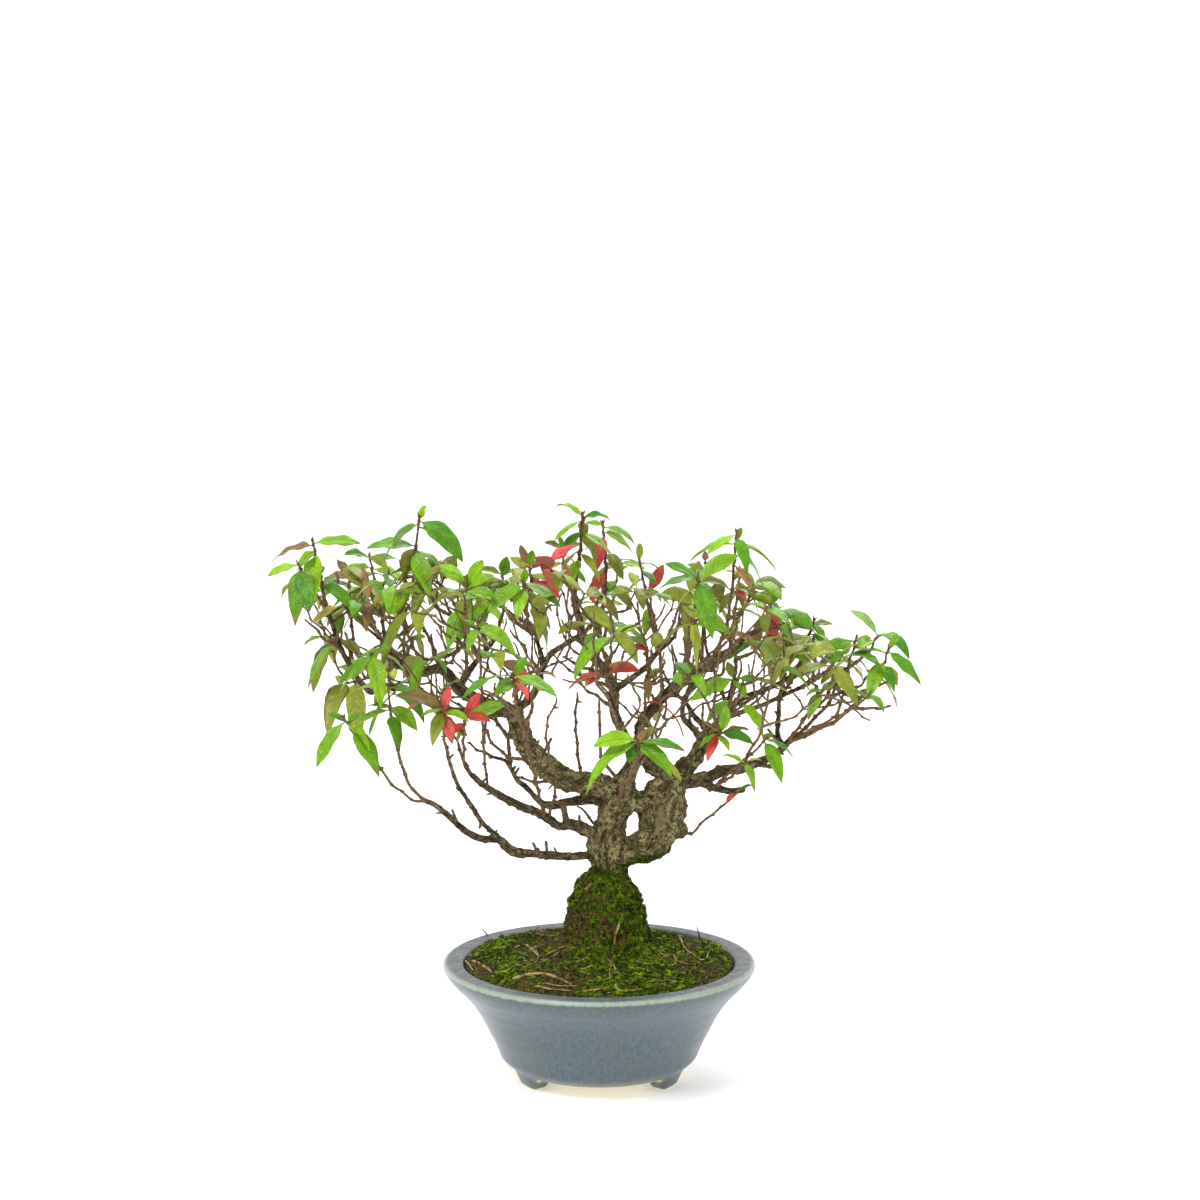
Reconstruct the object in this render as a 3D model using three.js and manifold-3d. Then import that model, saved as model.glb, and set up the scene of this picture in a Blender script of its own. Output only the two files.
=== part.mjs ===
// Star jasmine bonsai in a round glazed pot, in millimetres, +Z up, foot plane at Z = 0.
// The pot, its drain screen, the mossy soil, the wood of the tree and every leafy shoot
// are pieces of their own.

import * as THREE from "three";
import { mergeVertices } from "three/addons/utils/BufferGeometryUtils.js";
import Module from "manifold-3d";

const wasm = await Module();
wasm.setup();

// Driving dimensions

const RIM_RADIUS = 85;
const POT_HEIGHT = 65;
const RIM_INNER_RADIUS = 74;
const BODY_BOTTOM = 7;
const FLOOR_TOP = 13;
const DRAIN_RADIUS = 6.5;
const FOOT_RADII = [36, 47.5];
const FOOT_HALF_ANGLE = 0.2;
const FOOT_TAPER = 0.62;
const FOOT_TAPER_RADIUS = 39.75;
const FOOT_DIRECTIONS = [Math.PI / 2, -Math.PI / 6, -5 * Math.PI / 6];
const FOOT_SUNK = 1.5;
const POT_SECTORS = 34;
const SCREEN_WIDTH = 25;
const SCREEN_THICKNESS = 1.2;
const SCREEN_BAR = 2;
const SCREEN_HOLES = 2;
const GAP = 0.35;
const STALK_GAP = 0.45;

const POT_OUTLINE = [
  // radius, height: underneath, up the outside, over the rim and down the inside
  [DRAIN_RADIUS, BODY_BOTTOM], [44, BODY_BOTTOM], [48, 8.5], [52, 11], [55, 16], [61.5, 30.5],
  [71, 46], [79.5, 54.5], [RIM_RADIUS, 61.5], [RIM_RADIUS - 0.5, POT_HEIGHT],
  [RIM_INNER_RADIUS, POT_HEIGHT], [73, 62], [66, 48.5], [52, 27], [47, FLOOR_TOP],
  [DRAIN_RADIUS, FLOOR_TOP], [DRAIN_RADIUS, BODY_BOTTOM],
];

// The soil: a mossy mound round the foot of the trunk, a lumpy surface out to the pot's rim,
// and the root ball that fills the pot

const SOIL_TOP = [
  // radius, height
  [0, 112], [10.3, 112.5], [13, 109], [17.5, 103], [20, 95], [21.5, 84], [24, 76.5], [31, 71.5],
  [42, 69], [58, 67], [72.6, 63.4],
];
const SOIL_WALL = [[65.2, 48.5], [51.2, 27], [46.3, FLOOR_TOP + GAP]];
const SOIL_SECTORS = 22;
const MOUND_CENTRE = 4;
const MOUND_REACH = 60;
const LUMPS = [
  // height, how many round the axis, turn for each millimetre of radius, start
  [1.1, 3, 0, 0.7], [0.9, 5, 0.143, 0], [0.8, 7, -0.25, 1.3],
];
const LUMPS_RISE = 20;
const LUMPS_EDGE = 71;
const LUMPS_FALL = 12;
const LUMP_ASIDE = 0.7;
const LUMP_UP = 0.6;
const ROOT_LEVEL = 65;
const ROOT_RADIUS = 1.2;
const ROOT_ABOVE_SOIL = 0.5;

// Where the tree is looked at from when its twigs are laid out: an eye in front of the pot,
// looking down a little, and the upright picture in which a millimetre at the rim is true.
// Points of the tree are measured as u to the right of the pot's axis, v above the foot
// line in that picture, and y, the depth behind the axis.

const EYE = new THREE.Vector3(0, -1449, 453);
const EYE_PITCH = 7.49 * Math.PI / 180;
const PICTURE_DISTANCE = 1487;
const PICTURE_CENTRE = 259.4;

// Wood and leaves

const TWIG_SIDES = 3;
const ARM_SIDES = 5;
const TRUNK_SIDES = 8;
const ARM_FROM = 2.3;
const TRUNK_FROM = 6.5;
const SMOOTHING = 1.3;
const CLOSEST_KNOTS = 0.8;
const LEAF_HALF_WIDTH = 0.2;
const LEAF_THICKNESS = 1.1;
const LEAF_STATIONS = [0.32, 0.68];
const SMALL_LEAF_STATIONS = [0.45];
const SMALL_LEAF = 15;
const STALK_HALF = 0.36;
const LEAF_ROOT_OUT = 0.3;
const LEAF_CREST = 0.42;
const LEAF_ARCH = [0.13, 0.1];
const LEAF_ARCH_UP = 0.8;
const LEAF_ARCH_OUT = 0.6;
const LEAF_ROLL = 0.8;
const LEAF_WIDTH_SPREAD = 0.2;
const SHOOT_BELOW_LEAVES = 2.5;
const SHOOT_TIP_RADIUS = 1.1;
const LEAFY_SHARE = 0.75;
const LEAF_STAGGER = 0.9;
const SEED = 20417;

const LIMBS = [
  // name, carried by, radius at the root, radius at the end, depth at the end, points
  ["trunk", "", 9, 2.7, 4, [[5, 66, 10], [5, 96, 9.5], [6, 111, 9.2], [4, 119, 10.4],
    [4, 126, 10.9], [6, 134, 9], [9, 142, 8.7], [12, 150, 9.3], [14, 159, 6.8], [17, 167, 4.2],
    [19, 175, 2.9], [20, 181, 2.7]]],
  ["right_arm", "trunk", 8, 5.5, 10, [[6, 119, 8], [17, 122, 8.7], [26, 126, 10.9],
    [34, 134, 11.2], [38, 144, 9.8], [40, 152, 7.8], [41, 160, 6.6], [43, 167, 5.5]]],
  ["right_brace", "trunk", 6, 6, 8, [[11, 149, 6], [22, 148.5, 6.2], [37, 149, 6.6]]],
  ["right_web", "right_arm", 6, 6, 9, [[24, 126, 7], [29, 136, 9.4], [28, 147, 8.2],
    [34, 156, 6.5]]],
  ["right_upper", "right_arm", 5.4, 2.2, 22, [[42, 163], [50, 170, 4.6], [55, 179, 4.4],
    [62, 189, 3.8], [68, 195, 2.4], [70, 201, 1.7], [73, 215, 1.2]]],
  ["right_side", "right_upper", 2.2, 1, -18, [[55, 183], [51, 190], [46, 194], [45, 200],
    [47, 205], [52, 216]]],
  ["right_inner", "right_upper", 2, 0.9, 42, [[56, 190], [51, 197], [48, 203], [40, 210],
    [35, 220]]],
  ["middle_arm", "right_arm", 3.8, 1.6, 2, [[38, 159], [28, 168], [24, 174], [22, 179],
    [22, 191], [27, 198, 3.2], [33, 205], [41, 212, 3.4], [50, 218, 3.3], [55, 222, 3.4],
    [62, 226, 3.8], [71, 231, 2.2], [80, 239, 1.8], [86, 243, 1.5]]],
  ["outer_arm", "right_arm", 4, 1.9, -12, [[43, 159, 4], [53, 161, 3.9], [61, 163, 3.4],
    [67, 167], [75, 167], [81, 168, 2.5], [86, 171], [92, 173], [97, 175, 2.2], [100, 179],
    [104, 183, 1.9]]],
  ["outer_back", "outer_arm", 1.7, 1.2, 18, [[100, 179], [97, 186], [98, 197], [98, 205],
    [100, 213]]],
  ["cross_back", "right_upper", 1.6, 1.3, 14, [[68, 194], [77, 198], [89, 202], [101, 208],
    [111, 212]]],
  ["cross_high", "right_upper", 2, 1.3, 32, [[69, 198], [78, 206], [90, 210], [100, 215],
    [108, 220]]],
  ["right_spur", "right_arm", 2.4, 1.8, -8, [[41, 158], [55, 160], [62, 157], [73, 155],
    [79, 156]]],
  ["low_left", "trunk", 2.9, 1.6, -34, [[4, 122], [-4, 120, 2.8], [-20, 119, 2.8], [-36, 121],
    [-44, 121, 3], [-50, 124, 2.9], [-53, 129, 2.3], [-65, 129], [-74, 134, 2], [-81, 141],
    [-91, 149], [-95, 150, 1.4]]],
  ["low_riser", "low_left", 1.7, 1.1, -50, [[-51, 128], [-56, 131], [-64, 138], [-70, 148],
    [-77, 158], [-82, 172], [-83, 179]]],
  ["second_left", "trunk", 3.8, 1.3, -26, [[4, 130], [-6, 133, 3.3], [-11, 136], [-17, 138, 2.8],
    [-21, 135, 2.1], [-27, 140], [-32, 143, 2.3], [-40, 146], [-49, 150], [-56, 154, 2.4],
    [-61, 157], [-66, 161, 1.7], [-70, 164], [-73, 170]]],
  ["third_left", "trunk", 3, 1, 12, [[9, 152], [-12, 150, 2.8], [-20, 149], [-25, 147, 2.4],
    [-31, 148], [-35, 152, 1.7], [-39, 157], [-45, 161], [-50, 172], [-59, 174]]],
  ["big_left", "trunk", 7, 4.8, -8, [[12, 152, 7], [1, 159, 6], [-8, 160, 6], [-16, 161, 6],
    [-24, 165, 6.4], [-32, 171, 6], [-39, 178, 6], [-43, 185, 5], [-45, 192, 4.6],
    [-46, 199, 4.9]]],
  ["left_fork", "big_left", 3.8, 2.6, 4, [[-46, 199, 4], [-55, 201, 3.4], [-62, 203],
    [-70, 207], [-77, 211], [-81, 218], [-87, 223, 2.8], [-95, 220], [-103, 221], [-111, 226],
    [-115, 229], [-117, 235, 2.6]]],
  ["left_lower", "big_left", 3, 1.9, -26, [[-46, 198], [-51, 198], [-70, 198], [-84, 199],
    [-92, 204, 2.6], [-100, 209], [-109, 212], [-115, 212], [-125, 209]]],
  ["left_rim", "left_lower", 1.8, 1.3, -28, [[-125, 209], [-132, 217], [-136, 224],
    [-140, 231], [-143, 239], [-149, 257]]],
  ["left_middle", "big_left", 2.8, 1.2, 26, [[-46, 198], [-44, 201, 2.5], [-39, 204],
    [-35, 209], [-32, 218], [-30, 225], [-32, 231], [-34, 238]]],
  ["left_stray", "left_fork", 1.9, 1.5, 30, [[-76, 211], [-70, 222], [-61, 233], [-54, 242]]],
  ["centre", "trunk", 2.9, 2, 24, [[19, 175], [12, 189], [8, 198, 2.8], [8, 213, 2.9],
    [4, 220], [-1, 227], [-6, 232], [-9, 238, 2.4], [-10, 246], [-12, 253], [-14, 261, 1.7]]],
  ["centre_right", "centre", 2, 1.3, 22, [[8, 210], [25, 222], [32, 231], [41, 239]]],
  ["crossing", "left_middle", 1.9, 1.5, 22, [[-31, 222], [-27, 230], [-19, 235], [-9, 241]]],
];

const STUBS = [
  // carried by, radius, depth towards the back, root point, end point
  ["low_left", 1.1, 2, [-28, 121], [-29, 128]],
  ["low_left", 1.2, -2, [-33, 121], [-36, 127]],
  ["low_left", 1.1, -3, [-77, 137], [-80, 145]],
  ["second_left", 2.4, 6, [-18, 138], [-20, 149]],
  ["big_left", 1.8, -4, [-43, 188], [-38, 196]],
  ["big_left", 1.3, 4, [-33, 171], [-26, 184]],
  ["outer_arm", 1.6, -4, [85, 168], [99, 168]],
  ["outer_arm", 1.2, 6, [99, 180], [92, 189]],
  ["cross_high", 1.1, 5, [101, 215], [110, 222]],
  ["left_rim", 1, 6, [-146, 247], [-136, 254]],
];

const SHOOTS = [
  // name, carried by, radius at the root, depth at the tip, points up to the tip, and
  // leaves: colour (green, olive, tan, red or yellow), how far below the shoot's tip, then
  // u, y and v from there to the leaf's own tip
  ["far_left", "left_rim", 1.3, -34, [[-149, 257], [-152, 273], [-156, 291]],
    [["g", 0, 26, 4, 1], ["t", 0, -23, 6, -7], ["g", 2, -9, -12, -11], ["g", 3, -1, -11, -24],
      ["g", 19, 17, -6, -13], ["g", 17, -14, -6, -12],
      ["o", 13, -10, 11, -12], ["o", 15, 12, 8, -8]]],
  ["left_edge", "left_rim", 1.1, -58, [[-148, 254], [-158, 268], [-164, 279]],
    [["g", 0, -17, -3, -4], ["g", 2, -3, -10, -29], ["g", 2, 5, -12, -22], ["g", 5, -12, 8, -12],
      ["o", 3, 9, 14, -6]]],
  ["left_top_a", "left_rim", 1.2, 22, [[-136, 224], [-134, 240], [-136, 258], [-136, 273]],
    [["t", 0, -7, 4, 11], ["t", 1, -14, 10, 2], ["o", 2, 10, -10, 2], ["g", 5, 9, 14, -6],
      ["o", 20, -12, 8, -6], ["o", 22, 8, -10, -8]]],
  ["left_top_b", "left_fork", 1.5, 30, [[-117, 235], [-118, 250], [-122, 267], [-125, 283]],
    [["g", 0, -14, -8, 4], ["g", 0, 15, 6, 2], ["g", 4, -21, 7, -4], ["g", 4, 18, -10, -5],
      ["g", 9, 2, -14, -17]]],
  ["left_crown", "left_fork", 1.6, -32, [[-117, 235], [-107, 255], [-101, 270], [-100, 287],
    [-98, 304]],
    [["g", 0, 4, -4, 9], ["g", 0, 24, -6, -20], ["g", 1, -19, 6, -17], ["g", 2, 21, 12, -13],
      ["g", 13, -27, -6, 1], ["o", 13, -6, 12, -17], ["g", 14, 8, -17, -26], ["g", 14, 15, 9, -8],
      ["t", 29, -10, 12, -5],
      ["o", 23, 10, 8, -12]]],
  ["left_small", "left_fork", 1.3, 62, [[-117, 234], [-123, 247], [-126, 260]],
    [["o", 0, -11, -6, -3], ["o", 0, 10, 8, -3], ["g", 3, -6, 12, 5],
      ["o", 6, 9, -8, -8]]],
  ["left_tendril", "left_rim", 1, -46, [[-140, 230], [-145, 236]],
    [["g", 0, -14, -8, -21], ["g", 1, -6, 12, -12]]],
  ["left_front", "left_lower", 1.3, -84, [[-122, 210], [-126, 220], [-124, 230]],
    [["g", 0, 5, -12, -26], ["g", 0, -10, -13, -14], ["g", 0, 11, -2, 7], ["g", 7, -17, -4, -17],
      ["g", 10, -16, 2, -9], ["o", 1, 8, 14, -7]]],
  ["left_low_a", "low_left", 1.3, -68, [[-95, 150], [-104, 159], [-108, 171], [-110, 178],
    [-112, 187], [-114, 201], [-115, 213]],
    [["g", 0, 27, -4, -15], ["o", 1, -7, 12, -8], ["g", 11, 15, -13, -12], ["g", 12, -20, -7, -8],
      ["o", 10, -12, 10, 3], ["g", 13, 5, -14, -17]]],
  ["left_low_b", "low_left", 1, -56, [[-95, 150], [-101, 150], [-111, 157], [-120, 168],
    [-133, 186], [-139, 195]],
    [["g", 1, -16, -6, -23], ["g", 2, 12, -11, -13], ["g", 5, 15, -8, -24], ["g", 0, -11, 4, 7],
      ["g", 0, 6, 12, 7]]],
  ["left_olive", "left_fork", 1.2, -34, [[-87, 222], [-80, 226], [-77, 234]],
    [["o", 0, -20, -7, -12], ["o", 0, 9, 10, -6], ["g", 2, 10, -10, 6]]],
  ["left_dot", "left_fork", 1, 14, [[-103, 222], [-104, 231], [-102, 238]],
    [["o", 0, -8, -7, -4], ["g", 0, 8, 8, 4]]],
  ["red_left", "low_riser", 1, -82, [[-83, 179], [-85, 187], [-85, 201]],
    [["t", 0, -26, -2, 9], ["g", 0, -12, -14, -4], ["r", 0, 4, -3, 14], ["o", 2, -6, -10, -16],
      ["r", 3, 5, -8, -16], ["g", 1, 14, -10, -4]]],
  ["red_middle", "second_left", 1.1, -62, [[-73, 170], [-74, 180], [-73, 196]],
    [["r", 0, 14, -8, -1], ["g", 0, 23, -4, 8], ["g", 0, 5, 10, 9], ["r", 1, 8, -2, 16],
      ["r", 2, -8, -9, -7], ["o", 3, -4, 12, -9]]],
  ["light_top", "left_fork", 1.5, -38, [[-76, 212], [-72, 222], [-73, 245], [-72, 270]],
    [["g", 0, -10, -6, 6], ["g", 0, -18, 5, 11], ["g", 0, 9, 6, 15], ["g", 1, 15, -5, 7],
      ["o", 2, 24, 8, 4], ["g", 2, 18, -8, -6], ["t", 4, 14, 11, 3], ["g", 9, -10, -15, -22],
      ["g", 14, 12, -4, -8], ["o", 16, -9, 10, -8]]],
  ["front_star", "second_left", 1.4, -108, [[-30, 142], [-36, 167], [-39, 180], [-45, 202],
    [-47, 219]],
    [["g", 0, -28, -6, -9], ["g", 0, 24, -8, -11], ["g", 0, 8, -2, 13], ["g", 3, 22, 4, -6],
      ["r", 1, 9, 8, 4], ["r", 2, 8, -12, -9], ["g", 2, -10, -15, -7], ["g", 4, -9, 12, 2]]],
  ["back_tall", "left_stray", 1.4, 46, [[-55, 241], [-52, 255], [-53, 274]],
    [["o", 0, -12, -5, 4], ["o", 0, 12, 6, 5], ["g", 0, 3, -9, 12], ["o", 4, -8, 11, -5],
      ["o", 8, 10, 6, -8], ["g", 9, -10, -6, -10]]],
  ["front_pair", "left_middle", 1.4, -62, [[-34, 238], [-39, 249], [-41, 269]],
    [["g", 4, -20, -8, -14], ["g", 1, 20, -8, -11], ["g", 0, 1, -5, 9], ["g", 5, -4, -13, -17],
      ["o", 0, -8, 11, 5], ["o", 2, 11, 11, 0],
      ["o", 8, 14, 5, -19]]],
  ["upright_fan", "left_middle", 1.4, 34, [[-34, 238], [-36, 257], [-38, 279]],
    [["t", 0, -5, 2, 12], ["g", 0, 2, -5, 11], ["o", 0, -11, 5, 7], ["t", 0, 10, 7, 9],
      ["o", 2, 13, -6, -2], ["r", 5, 16, -6, -7],
      ["o", 8, -12, -6, -6], ["g", 10, 11, 8, -8], ["o", 14, 4, -12, -12], ["t", 3, 4, 10, 8]]],
  ["behind_top", "centre", 1.5, 62, [[-14, 260], [-19, 275], [-20, 288]],
    [["o", 0, -10, -5, 4], ["o", 0, 10, 5, 4], ["g", 0, -3, -9, 9], ["t", 3, 8, 11, -6],
      ["o", 16, -6, -9, -15],
      ["o", 8, -12, 6, -8], ["g", 9, 12, -6, -8], ["r", 6, 4, -12, -14], ["o", 18, 10, 8, -10]]],
  ["front_thin", "second_left", 1.1, -88, [[-61, 157], [-63, 180], [-64, 212], [-66, 246]],
    [["g", 0, 21, -6, -16], ["g", 1, -6, -9, -13], ["g", 0, -9, -2, 6], ["o", 2, 7, 11, -4]]],
  ["summit", "centre", 1.7, 2, [[-14, 260], [-12, 275], [-10, 289], [-9, 306]],
    [["g", 0, -14, 3, 8], ["g", 0, 15, -3, 1], ["g", 1, -15, -8, -9], ["o", 1, 1, 11, -9],
      ["g", 6, -11, -7, -13], ["g", 6, 19, -6, -15], ["o", 7, 8, 12, -13], ["t", 0, 3, -6, 6],
      ["o", 14, -10, 8, -12], ["o", 15, 11, -6, -14], ["g", 18, -4, -12, -14]]],
  ["summit_right", "centre", 1.7, 32, [[-9, 240], [2, 252], [4, 275], [2, 301]],
    [["g", 0, -10, 4, 2], ["g", 0, 17, -4, -8], ["g", 2, 16, 10, -10], ["r", 3, -4, -8, -18],
      ["r", 22, -9, -6, -15], ["o", 5, -11, 10, -4],
      ["o", 10, 10, -8, -14], ["o", 14, 8, 10, -8], ["g", 16, -8, 8, -10]]],
  ["brown_tip", "centre_right", 1.3, 58, [[32, 231], [27, 255], [22, 281]],
    [["o", 0, 0, 4, 12], ["o", 0, -10, -7, 2], ["o", 0, 10, 8, -1], ["g", 3, 8, -10, -7],
      ["o", 8, -10, 6, -8], ["g", 12, 9, 6, -8]]],
  ["deep_middle", "centre", 1.4, 82, [[-1, 227], [6, 250], [11, 280]],
    [["g", 0, 14, -7, -3], ["t", 0, -8, 4, 6], ["t", 1, -11, -6, -2], ["g", 12, -8, -11, -9],
      ["o", 3, 7, 12, 4],
      ["g", 14, 9, -6, -12]]],
  ["deep_right", "centre_right", 1.3, 70, [[32, 231], [30, 248], [27, 264]],
    [["r", 0, 8, -4, 16], ["t", 0, -9, 5, 3], ["t", 0, 11, 7, -2], ["g", 10, -4, -9, -16],
      ["o", 3, -5, 11, 6]]],
  ["big_front", "middle_arm", 1.6, -92, [[49, 218], [48, 235], [53, 259], [54, 272]],
    [["g", 0, -21, -6, -5], ["g", 0, -18, 5, 9], ["g", 0, 22, 3, 14], ["g", 2, 8, -14, -29],
      ["o", 1, 18, 6, -3], ["g", 0, 2, 11, 8],
      ["o", 6, -12, 8, -12], ["g", 7, 12, 8, -10]]],
  ["right_bud", "middle_arm", 1.4, 26, [[55, 222], [57, 238], [56, 258], [58, 278]],
    [["t", 0, 0, 2, 10], ["o", 0, -10, 5, 3], ["o", 0, 10, -6, 2], ["g", 4, -4, -11, -7],
      ["o", 10, -9, -8, -8], ["g", 12, 10, 6, -6], ["o", 16, -8, 8, -6]]],
  ["right_crown", "middle_arm", 1.5, -24, [[62, 226], [70, 247], [73, 270], [75, 296]],
    [["g", 0, -16, -8, -10], ["g", 1, 6, -11, -18], ["g", 4, 22, -4, -12], ["g", 5, 15, 9, -20],
      ["g", 2, -25, 7, -8], ["g", 0, 3, 5, 9],
      ["o", 10, -12, -6, -6], ["t", 12, 10, -6, -12]]],
  ["right_olive", "middle_arm", 1.3, 52, [[71, 231], [74, 252], [77, 276]],
    [["o", 0, 8, -7, -10], ["t", 7, 2, -9, -13], ["o", 9, 11, 7, -13], ["o", 0, -10, 9, 3],
      ["g", 2, 5, 12, 6],
      ["o", 12, -10, -6, -10]]],
  ["right_red", "middle_arm", 1.4, 16, [[86, 243], [91, 249], [94, 257]],
    [["t", 0, -16, 4, 9], ["o", 0, 5, -5, 14], ["r", 1, 2, -12, -19], ["g", 3, 15, -5, -18],
      ["t", 4, -6, 9, -18], ["r", 0, 9, 9, 3]]],
  ["right_dark", "outer_back", 1.2, 62, [[100, 213], [103, 227], [101, 243]],
    [["g", 6, -6, -8, -17], ["o", 0, -10, 7, 4], ["o", 0, 10, -6, 4], ["g", 1, 4, 11, 8],
      ["o", 10, 9, 6, -9]]],
  ["right_mid", "cross_high", 1.3, 34, [[108, 220], [113, 235], [117, 248]],
    [["g", 0, -13, -5, -3], ["g", 1, 7, -9, -6], ["o", 0, 11, 8, 2], ["g", 11, -9, -9, -8],
      ["g", 3, 13, -5, -7], ["g", 0, -4, 11, 5],
      ["o", 8, -10, 6, -8]]],
  ["right_lobe", "outer_arm", 1.5, -6, [[104, 183], [118, 195], [125, 203], [130, 214],
    [136, 224], [140, 238]],
    [["g", 0, -20, -7, -6], ["g", 0, 9, -8, 3], ["o", 2, 10, 10, -4], ["g", 8, -8, 12, -5],
      ["g", 10, 8, 8, -8]]],
  ["right_thin", "outer_arm", 1.2, 44, [[104, 183], [113, 196], [124, 206], [129, 220],
    [133, 231]],
    [["o", 0, -22, 3, -3], ["o", 2, -14, 10, -5], ["g", 0, 7, -7, 7], ["g", 3, 12, 8, -4],
      ["o", 8, -9, -6, -9]]],
  ["right_faint", "cross_back", 1.2, 68, [[111, 212], [119, 218], [121, 225]],
    [["o", 0, -11, -6, 4], ["g", 0, 10, 6, 5], ["o", 2, -7, 10, -5]]],
  ["right_hang", "cross_back", 1.2, -30, [[111, 212], [120, 217], [127, 224]],
    [["o", 0, -25, -9, -10], ["o", 1, 15, -10, -22], ["g", 0, 6, 5, 10], ["g", 2, 8, 12, -7]]],
  ["far_right", "outer_arm", 1.7, -18, [[104, 183], [116, 187], [128, 193], [134, 197],
    [141, 205], [149, 213], [155, 224], [158, 233]],
    [["g", 0, 5, -3, 9], ["g", 0, 18, -5, -17], ["g", 0, -20, -5, 0], ["g", 4, -9, -11, -20],
      ["g", 5, 6, -13, -14], ["o", 5, 8, 10, -9], ["g", 10, 11, 5, -16],
      ["g", 14, -8, 6, -12]]],
  ["right_under", "outer_arm", 1.1, -48, [[134, 197], [140, 201], [147, 208]],
    [["g", 0, 9, -6, -8], ["g", 0, -9, -5, 4]]],
  ["right_low", "outer_arm", 1.1, -44, [[104, 183], [114, 198], [122, 211]],
    [["g", 0, -9, -5, -3], ["g", 1, -7, -9, -13], ["o", 0, 8, 7, 6]]],
  ["front_low", "trunk", 1.5, -116, [[8, 146], [12, 156], [17, 164], [20, 172], [21, 183]],
    [["g", 0, -24, -3, -3], ["g", 2, -28, -11, -23], ["g", 1, -15, 9, 7], ["g", 0, 26, -3, -3],
      ["g", 2, 19, -11, -18], ["g", 1, 24, 8, -19], ["t", 0, 5, 5, 9], ["o", 0, 9, 11, 11],
      ["g", 3, -5, -15, -8]]],
  ["right_star", "right_side", 1.2, -64, [[50, 190], [59, 184], [67, 187]],
    [["t", 0, -10, -2, 7], ["g", 0, 3, -3, 16], ["g", 0, 18, -7, -4], ["g", 1, -11, -7, -7],
      ["t", 0, 16, 6, 4], ["r", 3, -6, -9, -13], ["g", 2, 6, -14, -9]]],
  ["right_pair", "right_upper", 1.2, 8, [[70, 196], [74, 205]],
    [["g", 0, -15, -8, -9], ["o", 0, 9, 9, 4]]],
  ["right_wide", "right_upper", 1.2, -44, [[69, 193], [72, 205], [74, 217]],
    [["g", 0, 30, -5, -8], ["g", 0, -24, -4, -11], ["o", 0, -4, 7, 10], ["g", 1, 6, -13, -8]]],
  ["right_drop", "right_upper", 1.1, -34, [[68, 191], [74, 197], [78, 203]],
    [["g", 0, 12, -9, -17], ["o", 0, 17, 5, -13]]],
  ["spur_tip", "right_spur", 1.1, -56, [[62, 157], [74, 168], [86, 178], [91, 184]],
    [["g", 0, 15, -7, -9], ["g", 2, 10, -5, -21], ["g", 0, -4, -7, 8], ["o", 0, 5, 9, 6]]],
  ["spur_front", "right_spur", 1.1, -72, [[62, 157], [72, 163], [80, 171]],
    [["g", 0, 5, -9, -15], ["g", 0, -13, -4, 6], ["g", 0, 9, -6, 3]]],
  ["spur_fine", "right_arm", 1, -14, [[43, 127], [51, 132], [59, 141], [69, 148], [76, 156]],
    [["g", 0, 9, -5, 4], ["r", 1, -5, -8, -5]]],
  ["red_centre", "centre", 1.2, -44, [[8, 205], [6, 212], [2, 220]],
    [["r", 0, -19, -7, -9], ["r", 0, 20, -5, 3], ["g", 1, -19, 9, -5], ["y", 0, 15, 8, 8],
      ["r", 1, -9, -14, -5]]],
  ["bronze_leaf", "middle_arm", 1, -30, [[24, 196], [25, 206], [26, 218]],
    [["t", 0, 1, -5, -12], ["o", 0, 8, 5, 5]]],
  ["back_left", "left_fork", 1.4, 84, [[-95, 220], [-104, 240], [-108, 262]],
    [["g", 0, -15, 10, -4], ["g", 0, 14, 12, -2], ["g", 1, -3, 16, -12], ["o", 1, 5, -11, 6],
      ["g", 3, -14, -8, -8],
      ["o", 9, 12, 8, -9]]],
  ["back_middle_left", "left_stray", 1.4, 98, [[-61, 232], [-63, 245], [-64, 258]],
    [["g", 0, -15, 8, 2], ["g", 0, 15, 10, -3], ["g", 1, 0, 17, -12], ["o", 1, -4, -12, 6],
      ["g", 3, 12, -8, -9],
      ["o", 9, -11, 8, -9]]],
  ["back_middle", "centre", 1.5, 104, [[8, 213], [2, 232], [-2, 258]],
    [["g", 0, -15, 9, -1], ["g", 0, 15, 9, 0], ["g", 1, 2, 17, -13], ["r", 1, -3, 4, 13],
      ["g", 3, -12, -7, -10],
      ["o", 9, 11, 8, -10]]],
  ["back_middle_right", "centre_right", 1.5, 98, [[25, 222], [38, 240], [46, 262]],
    [["g", 0, -14, 11, -4], ["g", 0, 15, 8, 2], ["g", 1, 4, 16, -13], ["o", 1, -5, -11, 6],
      ["g", 3, 11, -8, -10],
      ["o", 9, -10, 9, -9]]],
  ["back_right", "outer_back", 1.3, 84, [[98, 205], [108, 220], [112, 238]],
    [["g", 0, -14, 10, 2], ["g", 0, 14, 10, -4], ["g", 1, 1, 17, -12], ["o", 1, 4, -10, 7],
      ["o", 9, 10, 8, -10]]],
];

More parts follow.
